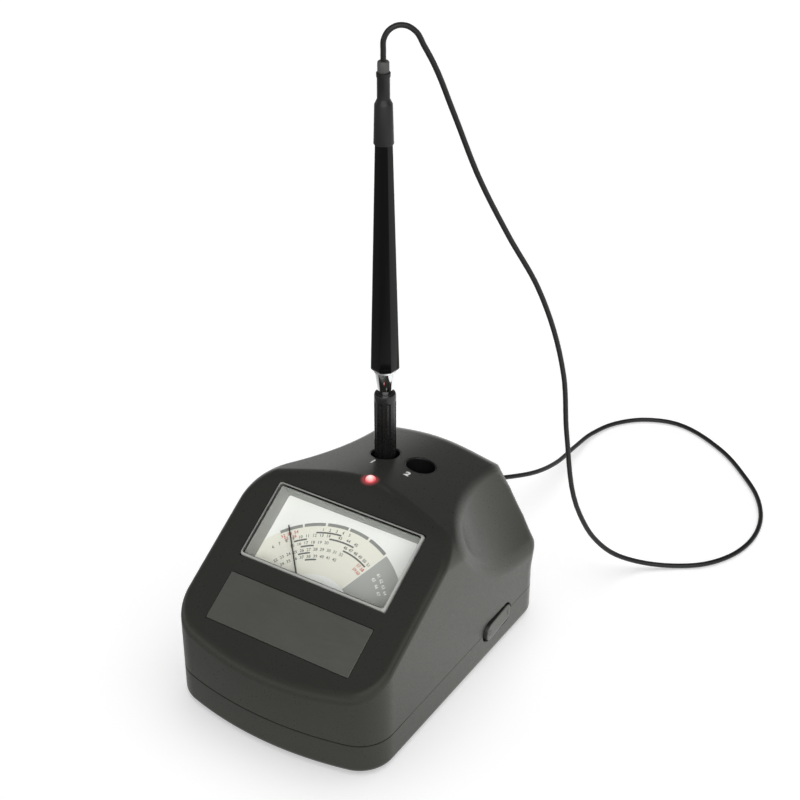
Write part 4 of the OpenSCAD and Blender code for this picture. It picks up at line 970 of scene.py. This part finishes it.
sleeves = join_parts(well_part(-WELL_X), well_part(WELL_X))
make_piece("well_sleeves_pair", sleeves, SLEEVE_ABS, "housing", "cap_abs", "well_sleeves")
MARK_Y, MARK_H, MARK_BOLD = 24.9, 3.3, 0.2
marks = []
for text, x in (("1", -WELL_X + 0.4), ("2", WELL_X)):
    slope_x = -(ROOF_GABLE**2) * x / math.sqrt((ROOF_GABLE * x) ** 2 + ROOF_SOFT**2)
    lean = spin(-math.atan(ROOF_FALL), "X") @ spin(-math.atan(slope_x), "Y")
    spot = shift(x, MARK_Y, float(roof_h(x, MARK_Y)) + 0.01) @ lean
    marks.append((number_part(text, MARK_H, spot, MARK_BOLD), INK_WHITE))
print_piece("well_marks", marks, "housing", "housing_abs")


# ---- Power key: a two-sloped rocker in the side wall ----
def key_part():
    """The key's body with its two slopes and eased edges, in its own level position."""
    length, height, ease = KEY_LEN - 2 * KEY_GAP, KEY_H - 2 * KEY_GAP, 0.35
    loops = [np.insert(stadium(length, height), 0, KEY_PIN_X - 1.6, axis=1)]
    insets = [ease * (1 - math.cos(a)) for a in np.radians((0, 30, 60, 90))] + [1.5, 2.5, height / 2 - 0.3]
    for inset in insets:
        flat = stadium(length, height, inset)
        drop = ease - math.sqrt(max(ease**2 - max(ease - inset, 0) ** 2, 0))
        slope = np.sqrt(flat[:, 0] ** 2 + 0.3) * math.tan(KEY_SWING / 2)
        loops.append(np.column_stack([KEY_FACE + slope - drop, flat]))
    return loft(loops)


KEY_AT = shift(KEY_PIN_X, KEY_Y, KEY_Z) @ spin(KEY_SWING / 2, "Z") @ shift(-KEY_PIN_X, 0, 0)
key = make_piece("rocker_key_cap", turned(key_part(), KEY_AT), KEY_ABS, "power_key", "key_abs", "rocker_key")
# Only the faces that look out have the key's own finish; the key's sides and back get the black as painted
# shade, standing in for the dark gap round the key
key.data.materials.append(BLACK_ABS_AND_SHADE)
for side in key.data.polygons:
    side.material_index = int(side.normal.x < 0.25)

KEY_MARK_Y, MARK_T = 8.2, 0.04
ring_rows = ((1.3, 0), (1.3, MARK_T), (0.95, MARK_T), (0.95, 0))
ring_mark = loft([at_height(circle(r, 40), z) for r, z in ring_rows], closed=True)
bar_mark = loft([at_height(round_rect(0.4, 2.6, 0.15), z) for z in (0, MARK_T)])
key_marks = []
for part, end in ((bar_mark, 1), (ring_mark, -1)):
    x = KEY_FACE + KEY_MARK_Y * math.tan(KEY_SWING / 2)
    on_slope = shift(x + 0.01, end * KEY_MARK_Y, 0) @ spin(-end * KEY_SWING / 2, "Z") @ OUT_OF_SIDE
    key_marks.append((turned(part, KEY_AT @ on_slope), INK_MARK))
print_piece("rocker_key_marks", key_marks, "power_key", "key_abs")

# ---- Cord outlet: a ribbed rubber boot ----
NECK, OUT = GLAND_NECK, WALL
gland = [(NECK + 1.2, -2), (NECK + 1.2, -0.4), (NECK, -0.4), (NECK, OUT + 0.3), (NECK + 0.8, OUT + 0.3)]
gland += [(NECK + 0.9, OUT + 0.4), (NECK + 0.9, OUT + 1.4), (NECK + 0.6, OUT + 1.7), (NECK - 0.35, OUT + 2)]
for k in range(3):
    z, r = OUT + 3.4 + 2.4 * k, NECK - 0.45 - 0.28 * k
    gland += [(r + 0.05, z - 0.35), (r - 0.45, z - 0.1), (r - 0.5, z + 0.7)]
    gland += [(r - 0.12, z + 0.95), (r - 0.12, z + 1.6)]
gland += [(CORD_D / 2 + 0.75, OUT + GLAND_LEN - 0.6), (CORD_D / 2 + 0.5, OUT + GLAND_LEN)]
boot = turned(lathe(gland, 64), GLAND)
make_piece("cord_gland_boot", boot, RUBBER, "housing", "gland_rubber", "cord_gland")

# ---- Pen probe, standing in the left well ----
NOSE_Z, SHOULDER_Z, NOSE_TOP, CONE_TOP = DISC_Z + 3.5, DISC_Z + 10, 109.5, BARREL_Z - 1.2
NOSE_R, FLUTES, FLUTE_R, FLUTE_OUT, FLUTE_TURN, FLUTE_END = NOSE_D / 2, 8, 0.8, 0.35, math.radians(10), 0.8


def fluted_nose(sides=192):
    """The black nose with round flutes between its ends."""
    low, high = SHOULDER_Z + 2.4, NOSE_TOP - 3.6
    profile = [(0.66, NOSE_Z + 0.4), (0.66, NOSE_Z), (1.3, NOSE_Z), (1.55, NOSE_Z + 0.2)]
    profile += [(3.75, SHOULDER_Z - 0.9), (4.05, SHOULDER_Z - 0.4), (NOSE_R - 0.08, SHOULDER_Z + 1.1)]
    run_in, run_out = np.linspace(low - 0.4, low + 1.2, 9), np.linspace(high - 1.2, high + 0.4, 9)
    profile += [(NOSE_R, z) for z in (SHOULDER_Z + 1.6, *run_in, *run_out, NOSE_TOP - 1)]
    profile += [(NOSE_R - 0.3, NOSE_TOP - 0.3), (NOSE_R - 1, NOSE_TOP), (2.1, NOSE_TOP)]
    a = np.linspace(0, 2 * math.pi, sides, endpoint=False)
    off = (a - FLUTE_TURN + math.pi / FLUTES) % (2 * math.pi / FLUTES) - math.pi / FLUTES
    axis_r = NOSE_R + FLUTE_OUT
    inside = np.maximum(FLUTE_R**2 - (axis_r * np.sin(off)) ** 2, 0)
    flute = np.where(inside > 0, axis_r * np.cos(off) - np.sqrt(inside), NOSE_R)
    loops = []
    for r, z in profile:
        depth = np.clip(min(z - low, high - z) / FLUTE_END, 0, 1)
        depth = math.sqrt(1 - (1 - depth) ** 2)
        radius = np.minimum(r, NOSE_R - (NOSE_R - flute) * depth) if depth else np.full(sides, r)
        loops.append(at_height(polar(radius, a), z))
    return loft(loops)


BARREL_TURN = 12  # degrees


def octagon(width, ease):
    """Loop of an octagon of a width across flats, its corners eased."""
    corner = 1 / math.cos(math.pi / 8)
    centre = width / 2 * corner - ease * (corner - 1) - ease
    loop = []
    for a in np.radians(45 * np.arange(8) + BARREL_TURN):
        round_off = polar(ease, a + np.radians((-22.5, -7.5, 7.5, 22.5)))
        loop.append(round_off + (centre * math.cos(a), centre * math.sin(a)))
    return np.concatenate(loop)


def barrel_part():
    """The eight-sided barrel, tapering to its top."""
    rows = [(BARREL_LO - 1.8, 0.4, 0), (BARREL_LO - 1.4, 0.5, 0.1)]
    rows += [(BARREL_LO - 0.12, 0.5, 1.0), (BARREL_LO, 0.5, 1.3)]
    for t in (0.25, 0.5, 0.75, 1):
        up = 1.1 + (BARREL_TOP - BARREL_Z - 1.1) * t
        rows.append((BARREL_LO + (BARREL_HI - BARREL_LO) * t, 0.5 - 0.15 * t, up))
    return loft([at_height(octagon(width, ease), BARREL_Z + up) for width, ease, up in rows])


def pen_piece(name, part, material, slot, node, body="probe", sharp=35.0):
    """A piece of the pen, turned about its axis."""
    make_piece(name, turned(part, AT_PEN), material, body, slot, node, sharp)


tip = [(0.3, 62.05), (0.36, 62.1), (0.6, 62.85), (0.6, 84), (2.5, 84), (2.5, 85), (1, 85.1), (1, 89.9)]
cone = [(2.1, NOSE_TOP), (3.1, NOSE_TOP), (3.2, NOSE_TOP + 0.15)]
cone += [(4.42, CONE_TOP - 0.1), (4.35, CONE_TOP), (2.1, CONE_TOP)]
ring = [(2.1, CONE_TOP), (4.7, CONE_TOP), (4.9, CONE_TOP + 0.2)]
ring += [(4.9, BARREL_Z - 0.2), (4.7, BARREL_Z), (2.1, BARREL_Z)]
sleeve = [(3.9, BARREL_TOP), (4, BARREL_TOP + 0.15), (3.95, BARREL_TOP + 1), (3.56, SLEEVE_MID - 0.3)]
sleeve += [(3.4, SLEEVE_MID), (2.6, SLEEVE_MID + 1.7), (2.5, SLEEVE_MID + 2), (2.5, SLEEVE_TOP - 2.2)]
sleeve += [(2.72, SLEEVE_TOP - 1.7), (2.75, SLEEVE_TOP - 1.5), (2.75, SLEEVE_TOP - 0.15), (2.6, SLEEVE_TOP)]
cap = [(2.2, SLEEVE_TOP), (2.3, SLEEVE_TOP + 0.15), (2.3, CAP_Z - 0.6), (2.1, CAP_Z - 0.15), (1.8, CAP_Z)]
pen_piece("probe_nose_fluted", fluted_nose(), NOSE_BLACK, "nose_plastic", "probe_nose")
pen_piece("probe_tip_rod", lathe(tip, 48), COPPER, "tip_copper", "probe_tip", body="tip")
pen_piece("probe_cone_chrome", lathe(cone), CHROME, "cone_chrome", "probe_cone")
pen_piece("probe_ring_chrome", lathe(ring), CHROME, "cone_chrome", "probe_ring")
pen_piece("probe_barrel_octagon", barrel_part(), GLOSS_BLACK, "barrel_gloss", "probe_barrel", sharp=25)
pen_piece("probe_sleeve_stepped", lathe(sleeve), MATT_BLACK, "sleeve_matt", "probe_sleeve")
pen_piece("probe_cap_rubber", lathe(cap, 64), CAP_GREY, "cap_grey", "probe_cap")

SPRING_R, WIRE_R, SPRING_LOW, SPRING_HIGH, SPRING_TURNS, TIP_TRAVEL = 1.85, 0.22, 85.22, 95.78, 7, 1.2
turn = np.linspace(0, 2 * math.pi * SPRING_TURNS, 24 * SPRING_TURNS + 1)
helix = np.column_stack([polar(SPRING_R, turn) + PEN, np.linspace(SPRING_LOW, SPRING_HIGH, len(turn))])
wire = tube_mesh(helix, WIRE_R, 10, ZINC)
spring = place_piece("tip_spring_wire", wire, ZINC, "probe", "spring_steel", "tip_spring")
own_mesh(spring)

# ---- Finishes of the nodes that show as they are ----
NODE_FINISH = (
    (ZINC, "battery_contacts", "board_screws", "meter_screws", "pivot_shafts", "rocker_pin", "switch_tags"),
    (BLACK_ABS_AND_SHADE, "meter_case", "well_caps"), (BRASS, "meter_frame", "meter_bridge", "hairspring"),
    (MAGNET, "meter_magnet", "meter_core"), (COIL, "moving_coil"), (CELL, "battery_cells"),
    (BOARD, "main_board"), (EPOXY, "board_parts"), (GLASS_DISC, "glass_disc"),
    (STEEL_DISC, "calibration_disc"), (CERAMIC, "probe_heater"), (LEAD_RED, "probe_leads"),
)
for finish, *nodes in NODE_FINISH:
    for node in nodes:
        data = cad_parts[node].data
        data.materials.clear()
        data.materials.append(finish)

# ---- Stage: white table, pale horizon, soft lamps ----
TABLE_REACH, TABLE_DROP = 4.0, 0.0001  # metres
SEEN_WHITE, GLOSS_WHITE = 0.3, 0.85  # shares of plain white that the eye and glossy faces see in the table
EYE_LEVEL, GLOW_WAY, GLOW_SPAN, GLOW_LEVELS = 1.62, (0.5, 0.85, 0), (-0.11, 0.05), (0.25, 1.4)


def white_when_seen(tree, lit):
    """Mixes a lit shader with white, which glossy faces see dim in front and bright to the back right."""
    path = add(tree, "LightPath")
    rays = {0: path["Is Camera Ray"], 1: path["Is Transmission Ray"]}
    eye = add(tree, "Math", rays, operation="MAXIMUM")[0]
    part = add(tree, "Math", {0: eye, 1: SEEN_WHITE}, operation="MULTIPLY")[0]
    terms = {0: path["Is Glossy Ray"], 1: GLOSS_WHITE, 2: part}
    part = add(tree, "Math", terms, operation="MULTIPLY_ADD")[0]
    place = add(tree, "TexCoord")["Object"]
    along = add(tree, "VectorMath", {0: place, 1: GLOW_WAY}, operation="DOT_PRODUCT")["Value"]
    span = dict(enumerate((along, *GLOW_SPAN, *GLOW_LEVELS)))
    glow = add(tree, "MapRange", span)[0]
    level = add(tree, "Mix", {0: path["Is Glossy Ray"], 2: EYE_LEVEL, 3: glow})[0]
    white = add(tree, "Emission", {"Color": (1, 1, 1, 1), "Strength": level})[0]
    return add(tree, "MixShader", {0: part, 1: lit, 2: white})[0]


def table():
    """A wide white table that keeps the object's soft shadow."""
    mesh = bpy.data.meshes.new("table")
    corners = [(sx * TABLE_REACH, sy * TABLE_REACH, 0) for sx, sy in ((-1, -1), (1, -1), (1, 1), (-1, 1))]
    mesh.from_pydata(corners, [], [(0, 1, 2, 3)])
    top = shown("table", mesh)
    top.location.z = -TABLE_DROP
    material, tree, shader = surface("white_table", rough=0.6, colour=srgb("#f8f8f8"))
    tree.links.new(white_when_seen(tree, shader.outputs[0]), tree.nodes["Material Output"].inputs[0])
    mesh.materials.append(material)
    return top


def lamp(name, kind, place, aim, power, things, state, **shape):
    """A lamp in metres, turned to a point, whose light is kept to some things or off them."""
    light = bpy.data.lights.new(name, kind)
    light.energy = power
    for word, value in shape.items():
        setattr(light, word, value)
    holder = shown(name, light)
    holder.location = place
    holder.rotation_euler = (Vector(aim) - Vector(place)).to_track_quat("-Z", "Y").to_euler()
    group = bpy.data.collections.new(f"{name}_flag")
    for thing in things:
        group.objects.link(thing)
    for member in group.collection_objects:
        member.light_linking.link_state = state
    holder.light_linking.receiver_collection = group
    return holder


def studio_sky():
    """White near the horizon and dim above, so that level faces stay dark and upright ones bright."""
    world = bpy.data.worlds.new("studio")
    bpy.context.scene.world = world
    world.use_nodes = True
    tree = world.node_tree
    toward = add(tree, "SeparateXYZ", {0: add(tree, "TexCoord")["Generated"]})
    greys = [(at, (grey, grey, grey, 1)) for at, grey in ((0.1, 1.2), (0.34, 0.12))]
    tree.links.new(colour_ramp(tree, toward["Z"], greys), tree.nodes["Background"].inputs["Color"])
    tree.nodes["Background"].inputs["Strength"].default_value = 1.0


table_top = table()
studio_sky()
# One soft box; the case gets its light in two lamps, so that its edges mirror only a share of it
case = [housing, tray]
BOX_AT, BOX_AIM, BOX_POWER, CASE_POWER = (0.74, -0.95, 1.1), (0, 0, 0.05), 30, 29
BOX = {"shape": "RECTANGLE", "size": 2.2, "size_y": 1.0}
lamp("lamp_over", "AREA", BOX_AT, BOX_AIM, BOX_POWER, [table_top, *case], "EXCLUDE", **BOX)
for name, share, mirrored in (("lamp_case", 0.25, True), ("lamp_case_soft", 0.75, False)):
    holder = lamp(name, "AREA", BOX_AT, BOX_AIM, CASE_POWER * share, case, "INCLUDE", **BOX)
    holder.visible_glossy = mirrored
# The table has a broad light of its own, like a white ceiling
CEILING = {"angle": math.radians(72)}
lamp("lamp_table", "SUN", (0.09, 0.18, 0.95), (0, 0, 0), 2.08, [table_top], "INCLUDE", **CEILING)
bpy.context.scene.view_settings.view_transform = "Standard"
